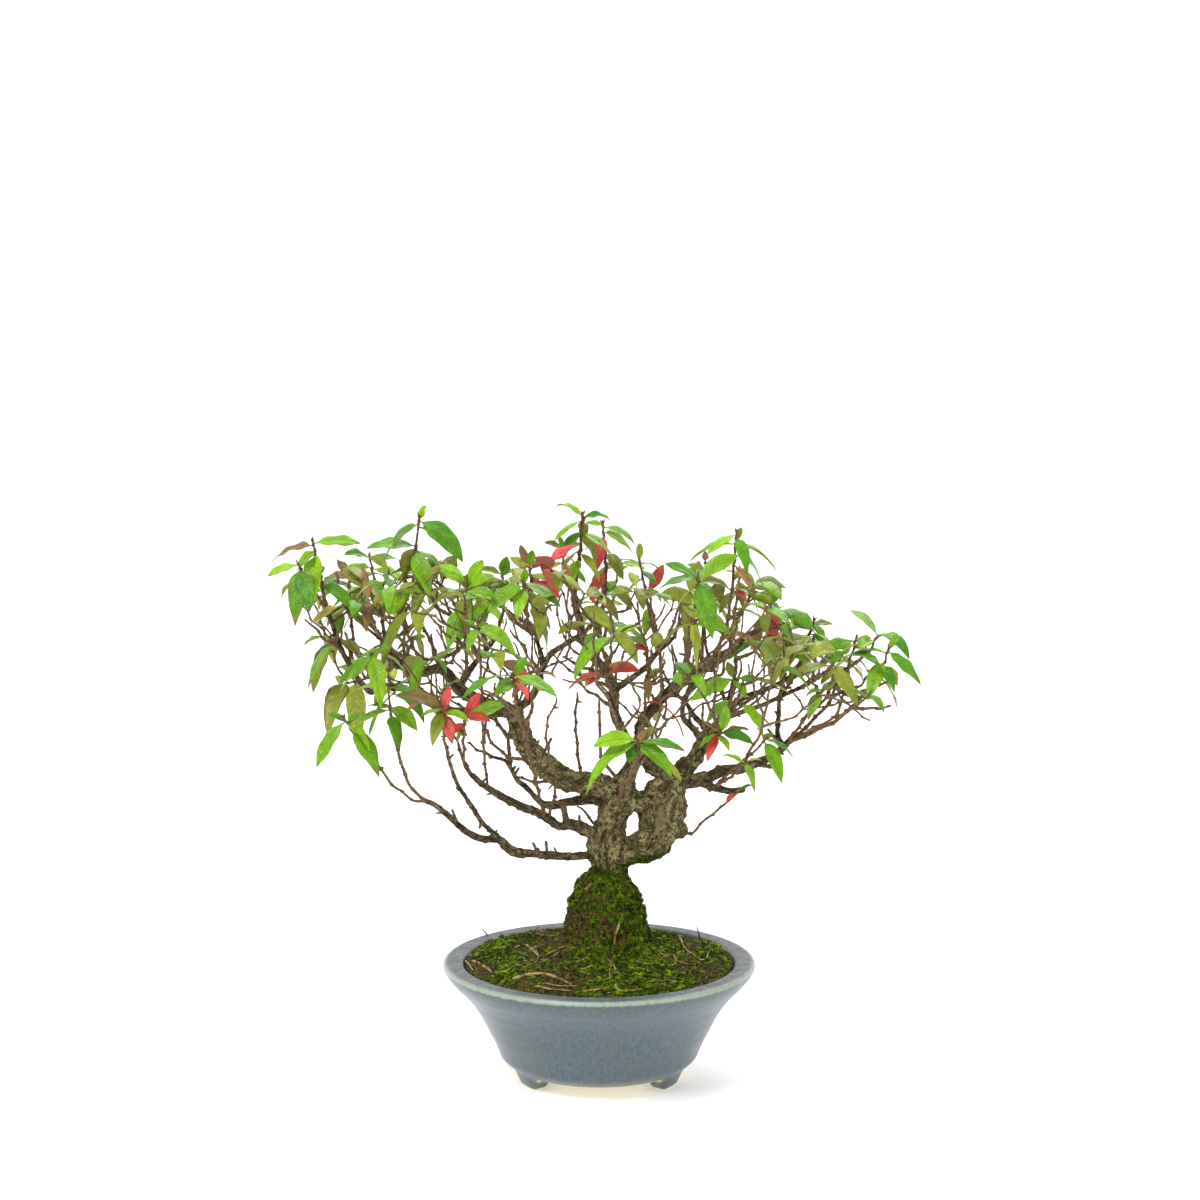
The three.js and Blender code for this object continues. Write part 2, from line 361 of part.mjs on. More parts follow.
const BARE_TWIGS = [
  // carried by, radius at the root, radius at the end, depth at the end, points
  ["left_fork", 1.5, 0.9, -14, [[-114, 238], [-112, 231], [-107, 229], [-92, 227]]],
  ["left_fork", 1.3, 0.8, -6, [[-106, 224], [-106, 248], [-104, 257]]],
  ["left_fork", 1.2, 0.7, 22, [[-117, 235], [-129, 247], [-138, 255]]],
  ["left_fork", 1.3, 0.7, -16, [[-87, 223], [-92, 238], [-100, 250], [-110, 265]]],
  ["second_left", 1.2, 0.8, -18, [[-73, 168], [-78, 185], [-86, 185]]],
  ["big_left", 1.4, 0.8, 24, [[-18, 158], [-35, 160], [-45, 163]]],
  ["big_left", 1.4, 0.8, -30, [[-38, 168], [-49, 173], [-59, 182], [-63, 191]]],
  ["big_left", 1.3, 0.8, 18, [[-45, 180], [-51, 186], [-57, 195]]],
  ["third_left", 1, 0.7, -8, [[-59, 174], [-68, 179], [-72, 182]]],
  ["big_left", 1.2, 0.8, 40, [[-10, 160], [-12, 180], [-13, 194], [-12, 209]]],
  ["trunk", 1.4, 0.9, -26, [[14, 158], [1, 172], [0, 205]]],
  ["middle_arm", 1.4, 0.8, -12, [[35, 206], [33, 232], [30, 249], [27, 257]]],
  ["middle_arm", 1.4, 0.8, 36, [[46, 216], [47, 235], [47, 251]]],
  ["second_left", 1.1, 0.7, -58, [[-26, 141], [-23, 161], [-28, 177], [-29, 191], [-23, 206]]],
  ["trunk", 1.2, 0.8, 6, [[-4, 134], [-6, 140], [-8, 144], [-12, 147]]],
  ["right_upper", 1.4, 0.8, 8, [[55, 205], [57, 237], [58, 243], [55, 257]]],
];

const ROOTS = [
  // picture points of the bare roots that run over the soil
  [[-47, 52], [-38, 54.5], [-29, 55], [-21, 52], [-15, 49]],
  [[-69, 62], [-65, 60], [-59, 56]],
  [[-40, 70], [-35, 68], [-32, 63]],
  [[4, 58], [8, 56], [6, 51]],
  [[7, 50], [10, 46], [21, 47]],
  [[40, 66], [44, 62], [50, 59]],
];

// The place in space that a picture point at a depth stands for

const pictureUp = new THREE.Vector3(0, Math.sin(EYE_PITCH), Math.cos(EYE_PITCH));
const pictureForward = new THREE.Vector3(0, Math.cos(EYE_PITCH), -Math.sin(EYE_PITCH));

function sightLine(u, v) {
  return pictureForward.clone().multiplyScalar(PICTURE_DISTANCE)
    .addScaledVector(pictureUp, v - PICTURE_CENTRE)
    .add(new THREE.Vector3(u, 0, 0));
}

function place(u, y, v) {
  const sight = sightLine(u, v);
  return EYE.clone().addScaledVector(sight, (y - EYE.y) / sight.y);
}

function placeOnLevel(u, v, level) {
  const sight = sightLine(u, v);
  return EYE.clone().addScaledVector(sight, (level - EYE.z) / sight.z);
}

// A seeded draw between 0 and 1, the same on every run

function seededDraw(seed) {
  let state = seed;
  return () => {
    state = (state * 16807) % 2147483647;
    return state / 2147483647;
  };
}

// Solids

function solidOf(geometry) {
  const bare = geometry.clone();
  bare.deleteAttribute("normal");
  bare.deleteAttribute("uv");
  const merged = mergeVertices(bare, 1e-4);
  return new wasm.Manifold(new wasm.Mesh({
    numProp: 3,
    vertProperties: new Float32Array(merged.attributes.position.array),
    triVerts: new Uint32Array(merged.index.array),
  }));
}

function solidOfFaces(points, faces) {
  const geometry = new THREE.BufferGeometry();
  geometry.setAttribute("position", new THREE.Float32BufferAttribute(
    points.flatMap((point) => [point.x, point.y, point.z]), 3));
  geometry.setIndex(faces.flat());
  return solidOf(geometry);
}

function largestBody(solid) {
  const bodies = solid.decompose();
  return bodies.reduce((best, body) => (body.volume() > best.volume() ? body : best));
}

function join(solids) {
  return wasm.Manifold.union(solids);
}

function geometryOf(solid) {
  const mesh = solid.getMesh();
  const geometry = new THREE.BufferGeometry();
  geometry.setAttribute("position", new THREE.BufferAttribute(mesh.vertProperties, 3));
  geometry.setIndex(new THREE.BufferAttribute(mesh.triVerts, 1));
  const flat = geometry.toNonIndexed();
  flat.computeVertexNormals();
  return flat;
}

// A tapering stem: rings of a few corners, square to a path of points with radii, and
// closed by a flat fan at each end

function stem(path, sides, grow = 0) {
  const points = [];
  const faces = [];
  const last = path.length - 1;
  let side = new THREE.Vector3(0.31, 0.87, 0.38);
  path.forEach((knot, i) => {
    const before = path[Math.max(i - 1, 0)].point;
    const after = path[Math.min(i + 1, last)].point;
    const along = after.clone().sub(before).normalize();
    side = side.clone().addScaledVector(along, -side.dot(along)).normalize();
    const across = new THREE.Vector3().crossVectors(along, side);
    const end = i === 0 ? -grow : i === last ? grow : 0;
    const centre = knot.point.clone().addScaledVector(along, end);
    for (let k = 0; k < sides; k += 1) {
      const angle = 2 * Math.PI * k / sides;
      points.push(centre.clone()
        .addScaledVector(side, Math.cos(angle) * (knot.radius + grow))
        .addScaledVector(across, Math.sin(angle) * (knot.radius + grow)));
    }
  });
  for (let i = 0; i < last; i += 1) {
    for (let k = 0; k < sides; k += 1) {
      const a = i * sides + k;
      const b = i * sides + (k + 1) % sides;
      faces.push([a, b, b + sides], [a, b + sides, a + sides]);
    }
  }
  for (let k = 1; k < sides - 1; k += 1) {
    faces.push([0, k + 1, k]);
    faces.push([last * sides, last * sides + k, last * sides + k + 1]);
  }
  return solidOfFaces(points, faces);
}

// Paths of limbs and twigs

function nearestOn(path, u, v) {
  let best = null;
  for (let i = 0; i + 1 < path.length; i += 1) {
    const a = path[i];
    const b = path[i + 1];
    const length2 = (b.u - a.u) ** 2 + (b.v - a.v) ** 2;
    const t = Math.min(1, Math.max(0,
      ((u - a.u) * (b.u - a.u) + (v - a.v) * (b.v - a.v)) / length2));
    const found = {
      u: a.u + t * (b.u - a.u), v: a.v + t * (b.v - a.v), y: a.y + t * (b.y - a.y),
    };
    found.away = Math.hypot(found.u - u, found.v - v);
    if (!best || found.away < best.away) best = found;
  }
  return best;
}

function layPath(parent, rootRadius, endRadius, endDepth, spots) {
  const start = parent ? nearestOn(parent, spots[0][0], spots[0][1]) : null;
  const flat = spots.map(([u, v, radius]) => ({ u, v, radius }));
  if (start) {
    flat[0].u = start.u;
    flat[0].v = start.v;
  }
  const runs = [0];
  for (let i = 1; i < flat.length; i += 1) {
    runs.push(runs[i - 1] + Math.hypot(flat[i].u - flat[i - 1].u, flat[i].v - flat[i - 1].v));
  }
  const total = runs[runs.length - 1];
  const startDepth = start ? start.y : 0;
  return flat.map((knot, i) => {
    const share = runs[i] / total;
    const y = startDepth + (endDepth - startDepth) * share;
    return {
      u: knot.u,
      v: knot.v,
      y,
      radius: knot.radius ?? rootRadius + (endRadius - rootRadius) * share,
      point: place(knot.u, y, knot.v),
    };
  });
}

function pathLength(path) {
  let length = 0;
  for (let i = 1; i < path.length; i += 1) length += path[i].point.distanceTo(path[i - 1].point);
  return length;
}

function knotAt(path, distance) {
  let left = distance;
  for (let i = 1; i < path.length; i += 1) {
    const a = path[i - 1];
    const b = path[i];
    const step = b.point.distanceTo(a.point);
    if (left <= step || i === path.length - 1) {
      const t = Math.min(1, left / step);
      return {
        u: a.u + t * (b.u - a.u),
        v: a.v + t * (b.v - a.v),
        y: a.y + t * (b.y - a.y),
        radius: a.radius + t * (b.radius - a.radius),
        point: a.point.clone().lerp(b.point, t),
        next: i,
      };
    }
    left -= step;
  }
  return path[path.length - 1];
}

function pathPart(path, from, to) {
  const first = knotAt(path, from);
  const last = knotAt(path, to);
  const kept = [first, ...path.slice(first.next, last.next), last];
  return kept.filter((knot, i) => i === 0 || i === kept.length - 1
    || (knot.point.distanceTo(first.point) > CLOSEST_KNOTS
      && knot.point.distanceTo(last.point) > CLOSEST_KNOTS));
}

// The same path without the knots that lie within the smoothing distance of its chords

function thinned(path) {
  const first = path[0];
  const last = path[path.length - 1];
  const chord = new THREE.Line3(first.point, last.point);
  let worst = 0;
  let index = 0;
  for (let i = 1; i + 1 < path.length; i += 1) {
    const foot = chord.closestPointToPoint(path[i].point, true, new THREE.Vector3());
    const share = foot.distanceTo(first.point) / chord.distance();
    const radius = first.radius + share * (last.radius - first.radius);
    const away = foot.distanceTo(path[i].point) + Math.abs(radius - path[i].radius);
    if (away > worst) {
      worst = away;
      index = i;
    }
  }
  if (worst < SMOOTHING) return [first, last];
  return [...thinned(path.slice(0, index + 1)), ...thinned(path.slice(index)).slice(1)];
}

// A leaf: a thin blade with a keel along its midrib, narrow at its stalk and pointed at
// its tip, arched from its root over to its tip

function leafWidth(share) {
  const q = Math.max(0, (share - 0.08) / 0.92);
  return 2.72 * q ** 0.62 * (1 - q) ** 0.85;
}

function leafShape(root, tip, draw) {
  const reach = tip.clone().sub(root);
  const length = reach.length();
  const up = new THREE.Vector3(0, 0, 1);
  const outward = new THREE.Vector3(reach.x, reach.y - 0.15 * length, 0).normalize();
  const arch = length * (LEAF_ARCH[0] + LEAF_ARCH[1] * draw());
  const crest = root.clone().addScaledVector(reach, LEAF_CREST)
    .addScaledVector(up, LEAF_ARCH_UP * arch).addScaledVector(outward, LEAF_ARCH_OUT * arch);
  const roll = (draw() - 0.5) * LEAF_ROLL;
  const spread = 1 + LEAF_WIDTH_SPREAD * (draw() - 0.5);
  const halfWidth = LEAF_HALF_WIDTH * length * spread;
  const face = up.clone().addScaledVector(outward, 0.6).add(new THREE.Vector3(0, -0.35, 0));
  return { root, crest, tip, roll, halfWidth, face };
}

function leafFrame(leaf, share) {
  const { root, crest, tip, roll, face } = leaf;
  const point = root.clone().multiplyScalar((1 - share) ** 2)
    .addScaledVector(crest, 2 * share * (1 - share))
    .addScaledVector(tip, share ** 2);
  const along = crest.clone().sub(root).multiplyScalar(1 - share)
    .addScaledVector(tip.clone().sub(crest), share).normalize();
  const normal = face.clone().addScaledVector(along, -face.dot(along)).normalize();
  normal.applyAxisAngle(along, roll);
  const across = new THREE.Vector3().crossVectors(along, normal);
  return { point, across, normal };
}

function leaf(shape, grow = 0) {
  const points = [];
  const faces = [];
  const small = shape.tip.distanceTo(shape.root) < SMALL_LEAF;
  const rings = [0, ...(small ? SMALL_LEAF_STATIONS : LEAF_STATIONS)];
  for (const share of rings) {
    const { point, across, normal } = leafFrame(shape, share);
    const stalk = share === 0;
    const width = grow + (stalk ? STALK_HALF : leafWidth(share) * shape.halfWidth);
    const half = grow + (stalk ? STALK_HALF : LEAF_THICKNESS / 2);
    const top = point.clone().addScaledVector(normal, half);
    points.push(
      top.clone().addScaledVector(across, width),
      top.clone().addScaledVector(across, -width),
      point.clone().addScaledVector(normal, -half),
    );
  }
  points.push(leafFrame(shape, 1).point);
  const apex = points.length - 1;
  for (let k = 0; k < 3; k += 1) {
    const next = (k + 1) % 3;
    for (let ring = 0; ring + 1 < rings.length; ring += 1) {
      const a = ring * 3 + k;
      const b = ring * 3 + next;
      faces.push([a, b + 3, b], [a, a + 3, b + 3]);
    }
    const lastRing = (rings.length - 1) * 3;
    faces.push([lastRing + k, apex, lastRing + next]);
  }
  faces.push([0, 1, 2]);
  return solidOfFaces(points, faces);
}

// The tree's wood and its leafy shoots

const draw = seededDraw(SEED);
const limbPaths = new Map();
const woodStems = [];

function addWood(path) {
  const thickest = Math.max(...path.map((knot) => knot.radius));
  const arm = thickest > ARM_FROM ? ARM_SIDES : TWIG_SIDES;
  woodStems.push({ path: thinned(path), sides: thickest > TRUNK_FROM ? TRUNK_SIDES : arm });
}

for (const [name, parent, rootRadius, endRadius, endDepth, spots] of LIMBS) {
  const path = layPath(limbPaths.get(parent), rootRadius, endRadius, endDepth, spots);
  limbPaths.set(name, path);
  addWood(path);
}
for (const [parent, radius, depth, root, end] of STUBS) {
  const start = nearestOn(limbPaths.get(parent), root[0], root[1]);
  addWood(layPath(limbPaths.get(parent), radius, radius * 0.8, start.y + depth, [root, end]));
}
for (const [parent, rootRadius, endRadius, endDepth, spots] of BARE_TWIGS) {
  addWood(layPath(limbPaths.get(parent), rootRadius, endRadius, endDepth, spots));
}

const shoots = SHOOTS.map(([name, parent, radius, endDepth, spots, leaves]) => {
  const path = layPath(limbPaths.get(parent), radius, SHOOT_TIP_RADIUS, endDepth, spots);
  const length = pathLength(path);
  const below = leaves.map(([, down], i) => down + LEAF_STAGGER * (i + 1));
  const leafy = Math.min(LEAFY_SHARE * length, Math.max(...below) + SHOOT_BELOW_LEAVES);
  addWood(pathPart(path, 0, length - leafy));
  const blades = leaves.map(([, , du, dy, dv], i) => {
    const node = knotAt(path, length - below[i]);
    const tip = place(node.u + du, node.y + dy, node.v + dv);
    const root = node.point.clone().lerp(tip, LEAF_ROOT_OUT / node.point.distanceTo(tip));
    return leafShape(root, tip, draw);
  });
  return { name, stalk: pathPart(path, length - leafy + STALK_GAP, length), blades };
});

function woodSolid(grow = 0) {
  return join(woodStems.map(({ path, sides }) => stem(path, sides, grow)));
}

function shootSolid({ stalk, blades }, grow = 0) {
  return join([stem(stalk, TWIG_SIDES, grow), ...blades.map((shape) => leaf(shape, grow))]);
}

// Each piece is cut back by the gap from the pieces made before it

const wood = largestBody(woodSolid());
const woodGrown = woodSolid(GAP);
const taken = [woodGrown];
const shootSolids = [];
for (const shoot of shoots) {
  const solid = taken.reduce((rest, other) => rest.subtract(other), shootSolid(shoot));
  shootSolids.push({ name: shoot.name, solid: largestBody(solid) });
  taken.push(shootSolid(shoot, GAP));
}

// The pot: a flared bowl turned round its axis, with three feet and a drain hole

function potSolid() {
  const outline = POT_OUTLINE.map(([radius, height]) => new THREE.Vector2(radius, height));
  const bowl = new THREE.LatheGeometry(outline, POT_SECTORS).rotateX(Math.PI / 2);
  const feet = FOOT_DIRECTIONS.map((direction) => {
    const shape = new THREE.Shape();
    const from = direction - FOOT_HALF_ANGLE;
    const to = direction + FOOT_HALF_ANGLE;
    shape.absarc(0, 0, FOOT_RADII[1], from, to, false);
    shape.absarc(0, 0, FOOT_RADII[0], to, from, true);
    const height = BODY_BOTTOM + FOOT_SUNK;
    const foot = new THREE.ExtrudeGeometry(shape, {
      depth: height, bevelEnabled: false, curveSegments: 3,
    });
    const centreX = FOOT_TAPER_RADIUS * Math.cos(direction);
    const centreY = FOOT_TAPER_RADIUS * Math.sin(direction);
    const corners = foot.attributes.position;
    for (let i = 0; i < corners.count; i += 1) {
      const keep = corners.getZ(i) > height / 2 ? 1 : FOOT_TAPER;
      corners.setX(i, centreX + (corners.getX(i) - centreX) * keep);
      corners.setY(i, centreY + (corners.getY(i) - centreY) * keep);
    }
    return solidOf(foot);
  });
  return join([solidOf(bowl), ...feet]);
}

// The drain screen: a square of plastic net over the drain hole

function screenSolid() {
  const pitch = (SCREEN_WIDTH - SCREEN_BAR) / SCREEN_HOLES;
  const middle = FLOOR_TOP + GAP + SCREEN_THICKNESS / 2;
  const bars = [];
  for (let i = 0; i <= SCREEN_HOLES; i += 1) {
    const aside = pitch * (i - SCREEN_HOLES / 2);
    bars.push(
      new THREE.BoxGeometry(SCREEN_BAR, SCREEN_WIDTH, SCREEN_THICKNESS).translate(aside, 0, middle),
      new THREE.BoxGeometry(SCREEN_WIDTH, SCREEN_BAR, SCREEN_THICKNESS).translate(0, aside, middle),
    );
  }
  return join(bars.map((bar) => solidOf(bar)));
}

// The soil: rings of points from the mound's top out to the rim and down the pot's inside

function lumpAt(radius, angle) {
  const rise = Math.min(1, radius / LUMPS_RISE);
  const fall = Math.min(1, Math.max(0, (LUMPS_EDGE - radius) / LUMPS_FALL));
  return LUMPS.reduce((sum, [height, count, turn, start]) => (
    sum + rise * fall * height * Math.sin(count * angle + turn * radius + start)), 0);
}

function soilHeight(radius) {
  const outer = SOIL_TOP.findIndex(([ring]) => radius <= ring);
  const [r1, z1] = SOIL_TOP[outer];
  const [r0, z0] = SOIL_TOP[outer - 1];
  return z0 + (z1 - z0) * (radius - r0) / (r1 - r0);
}

function topPoint(radius, height, angle) {
  const lump = lumpAt(radius, angle);
  const onSlope = radius > SOIL_TOP[1][0] && radius < MOUND_REACH;
  const wide = radius + (onSlope ? lump * LUMP_ASIDE : 0);
  const aside = MOUND_CENTRE * Math.max(0, 1 - radius / MOUND_REACH);
  return new THREE.Vector3(
    aside + wide * Math.cos(angle), wide * Math.sin(angle), height + lump * LUMP_UP);
}

function rootStem(spots) {
  return stem(spots.map(([u, v]) => {
    const point = placeOnLevel(u, v, ROOT_LEVEL);
    point.z = soilHeight(Math.hypot(point.x, point.y)) + ROOT_ABOVE_SOIL;
    return { point, radius: ROOT_RADIUS };
  }), TWIG_SIDES);
}

function soilSolid() {
  const points = [new THREE.Vector3(MOUND_CENTRE, 0, SOIL_TOP[0][1])];
  const angles = Array.from({ length: SOIL_SECTORS }, (_, k) => 2 * Math.PI * k / SOIL_SECTORS);
  for (const [radius, height] of SOIL_TOP.slice(1)) {
    points.push(...angles.map((angle) => topPoint(radius, height, angle)));
  }
  for (const [radius, height] of SOIL_WALL) {
    points.push(...angles.map((angle) => (
      new THREE.Vector3(radius * Math.cos(angle), radius * Math.sin(angle), height))));
  }
  points.push(new THREE.Vector3(0, 0, FLOOR_TOP + GAP));
  const end = points.length - 1;
  const base = end - SOIL_SECTORS;
  const faces = [];
  for (let k = 0; k < SOIL_SECTORS; k += 1) {
    const next = (k + 1) % SOIL_SECTORS;
    faces.push([0, 1 + k, 1 + next], [base + k, end, base + next]);
    for (let ring = 1; ring < base; ring += SOIL_SECTORS) {
      const outer = ring + SOIL_SECTORS;
      faces.push([ring + k, outer + k, outer + next], [ring + k, outer + next, ring + next]);
    }
  }
  const recess = new THREE.BoxGeometry(
    SCREEN_WIDTH + 2 * GAP, SCREEN_WIDTH + 2 * GAP, 2 * (SCREEN_THICKNESS + 2 * GAP))
    .translate(0, 0, FLOOR_TOP);
  return largestBody(join([solidOfFaces(points, faces), ...ROOTS.map(rootStem)])
    .subtract(solidOf(recess)).subtract(woodGrown));
}

// The named pieces, with the whole set so that its box stands centred on the origin

const MATERIALS = {
  pot: { color: 0x6d8293, roughness: 0.3, metalness: 0 },
  net: { color: 0x1d1d1b, roughness: 0.6, metalness: 0 },
  soil: { color: 0x4a5a1e, roughness: 0.95, metalness: 0 },
  wood: { color: 0x645848, roughness: 0.9, metalness: 0 },
  leaf: { color: 0x5aa62a, roughness: 0.4, metalness: 0 },
};

function pieceOf(name, solid, finish) {
  const mesh = new THREE.Mesh(geometryOf(solid), new THREE.MeshStandardMaterial(MATERIALS[finish]));
  mesh.name = name;
  return mesh;
}

const bonsai = new THREE.Group();
bonsai.add(pieceOf("pot", potSolid(), "pot"));
bonsai.add(pieceOf("drain_screen", screenSolid(), "net"));
bonsai.add(pieceOf("soil", soilSolid(), "soil"));
bonsai.add(pieceOf("tree_wood", wood, "wood"));
for (const { name, solid } of shootSolids) bonsai.add(pieceOf(`shoot_${name}`, solid, "leaf"));

const box = new THREE.Box3().setFromObject(bonsai);
bonsai.position.set(-(box.min.x + box.max.x) / 2, -(box.min.y + box.max.y) / 2, 0);

const group = new THREE.Group();
group.add(bonsai);

export default group;
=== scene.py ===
"""Star jasmine bonsai in a round glazed pot: its fine surfaces, finishes, light and camera.

Lengths in the tables and in the shape functions are millimetres, from the pot's axis at the
plane its feet stand on. add_piece sets them in the frame, in metres.
"""

import math

import bpy
import numpy as np
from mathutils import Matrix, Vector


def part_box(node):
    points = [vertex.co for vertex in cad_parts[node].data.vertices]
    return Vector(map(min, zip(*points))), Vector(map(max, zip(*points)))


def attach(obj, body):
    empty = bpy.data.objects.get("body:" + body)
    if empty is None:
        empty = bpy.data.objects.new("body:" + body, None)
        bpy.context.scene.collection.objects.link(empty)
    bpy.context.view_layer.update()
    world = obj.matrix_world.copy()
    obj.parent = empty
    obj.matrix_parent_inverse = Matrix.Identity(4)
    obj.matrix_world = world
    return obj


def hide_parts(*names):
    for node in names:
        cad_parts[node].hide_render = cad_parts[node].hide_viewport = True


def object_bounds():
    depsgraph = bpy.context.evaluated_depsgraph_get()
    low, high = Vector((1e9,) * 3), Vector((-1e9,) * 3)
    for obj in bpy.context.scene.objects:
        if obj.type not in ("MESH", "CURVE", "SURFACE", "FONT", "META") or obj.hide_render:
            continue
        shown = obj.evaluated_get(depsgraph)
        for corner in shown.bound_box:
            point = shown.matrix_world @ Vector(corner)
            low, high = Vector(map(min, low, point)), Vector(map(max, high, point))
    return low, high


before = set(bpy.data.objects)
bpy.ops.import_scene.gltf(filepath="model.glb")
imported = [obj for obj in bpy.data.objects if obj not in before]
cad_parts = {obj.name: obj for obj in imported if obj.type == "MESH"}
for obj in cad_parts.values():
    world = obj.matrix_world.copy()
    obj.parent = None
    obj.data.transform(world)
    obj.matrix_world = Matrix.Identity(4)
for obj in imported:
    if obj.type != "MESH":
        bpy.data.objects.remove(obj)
cad_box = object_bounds()

# Driving values: the pot's place and size come from the frame, the rest repeats the solids

MM = 0.001
POT_LOW, POT_HIGH = (np.array(corner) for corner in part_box("pot"))
AXIS = np.array([(POT_LOW[0] + POT_HIGH[0]) / 2, (POT_LOW[1] + POT_HIGH[1]) / 2, 0])
RIM_RADIUS = (POT_HIGH[1] - POT_LOW[1]) / 2 / MM
POT_HEIGHT = POT_HIGH[2] / MM
FOOT_DIRECTIONS = np.radians([90, -30, -150])
FOOT_RADIUS = 40.5
FOOT_HALF_WIDTH = 8.6
FOOT_DEPTH = 7.4

SOIL_TOP = np.array([[0, 112], [10.3, 112.5], [13, 109], [17.5, 103], [20, 95], [21.5, 84],
                     [24, 76.5], [31, 71.5], [42, 69], [58, 67], [72.6, 63.4]])
SOIL_WALL = np.array([[72.5, 61], [65.2, 48.5], [51.2, 27], [46.3, 13.35], [18.2, 13.35],
                      [17.9, 14.7], [8, 14.7], [0.2, 14.7]])
MOUND_CENTRE = 4
MOUND_REACH = 60
LUMPS = [[1.1, 3, 0, 0.7], [0.9, 5, 0.143, 0], [0.8, 7, -0.25, 1.3]]
LUMPS_RISE = 20
LUMPS_EDGE = 71
LUMPS_FALL = 12
LUMP_ASIDE = 0.7
LUMP_UP = 0.6

EYE = np.array([0, -1449, 453])
EYE_PITCH = math.radians(7.49)
EYE_ASIDE = 0.5
PICTURE_DISTANCE = 1487
PICTURE_CENTRE = 259.4
LENS = 81.85
SENSOR = 36

WOOD_CELL = 0.74
BEND_WIDTH = 2.3
PATH_STEP = 0.8
LEAF_STAGGER = 0.9
SHOOT_BELOW_LEAVES = 2.5
SHOOT_TIP_RADIUS = 1.1
LEAFY_SHARE = 0.75
LEAF_HALF_WIDTH = 0.2
LEAF_ROOT_OUT = 0.3
LEAF_CREST = 0.42
LEAF_ARCH = (0.13, 0.1)
LEAF_ARCH_UP = 0.8
LEAF_ARCH_OUT = 0.6
LEAF_ROLL = 0.8
LEAF_WIDTH_SPREAD = 0.2
SEED = 20417

rng = np.random.default_rng(SEED)


def any_angle():
    """A seeded angle of a whole turn."""
    return rng.uniform(0, 2 * math.pi)


# Tables of the tree, the same as in the solids. A picture point is u to the right of the
# pot's axis and v above the foot line. A path is a text of picture points, and a third number
# is the radius there.

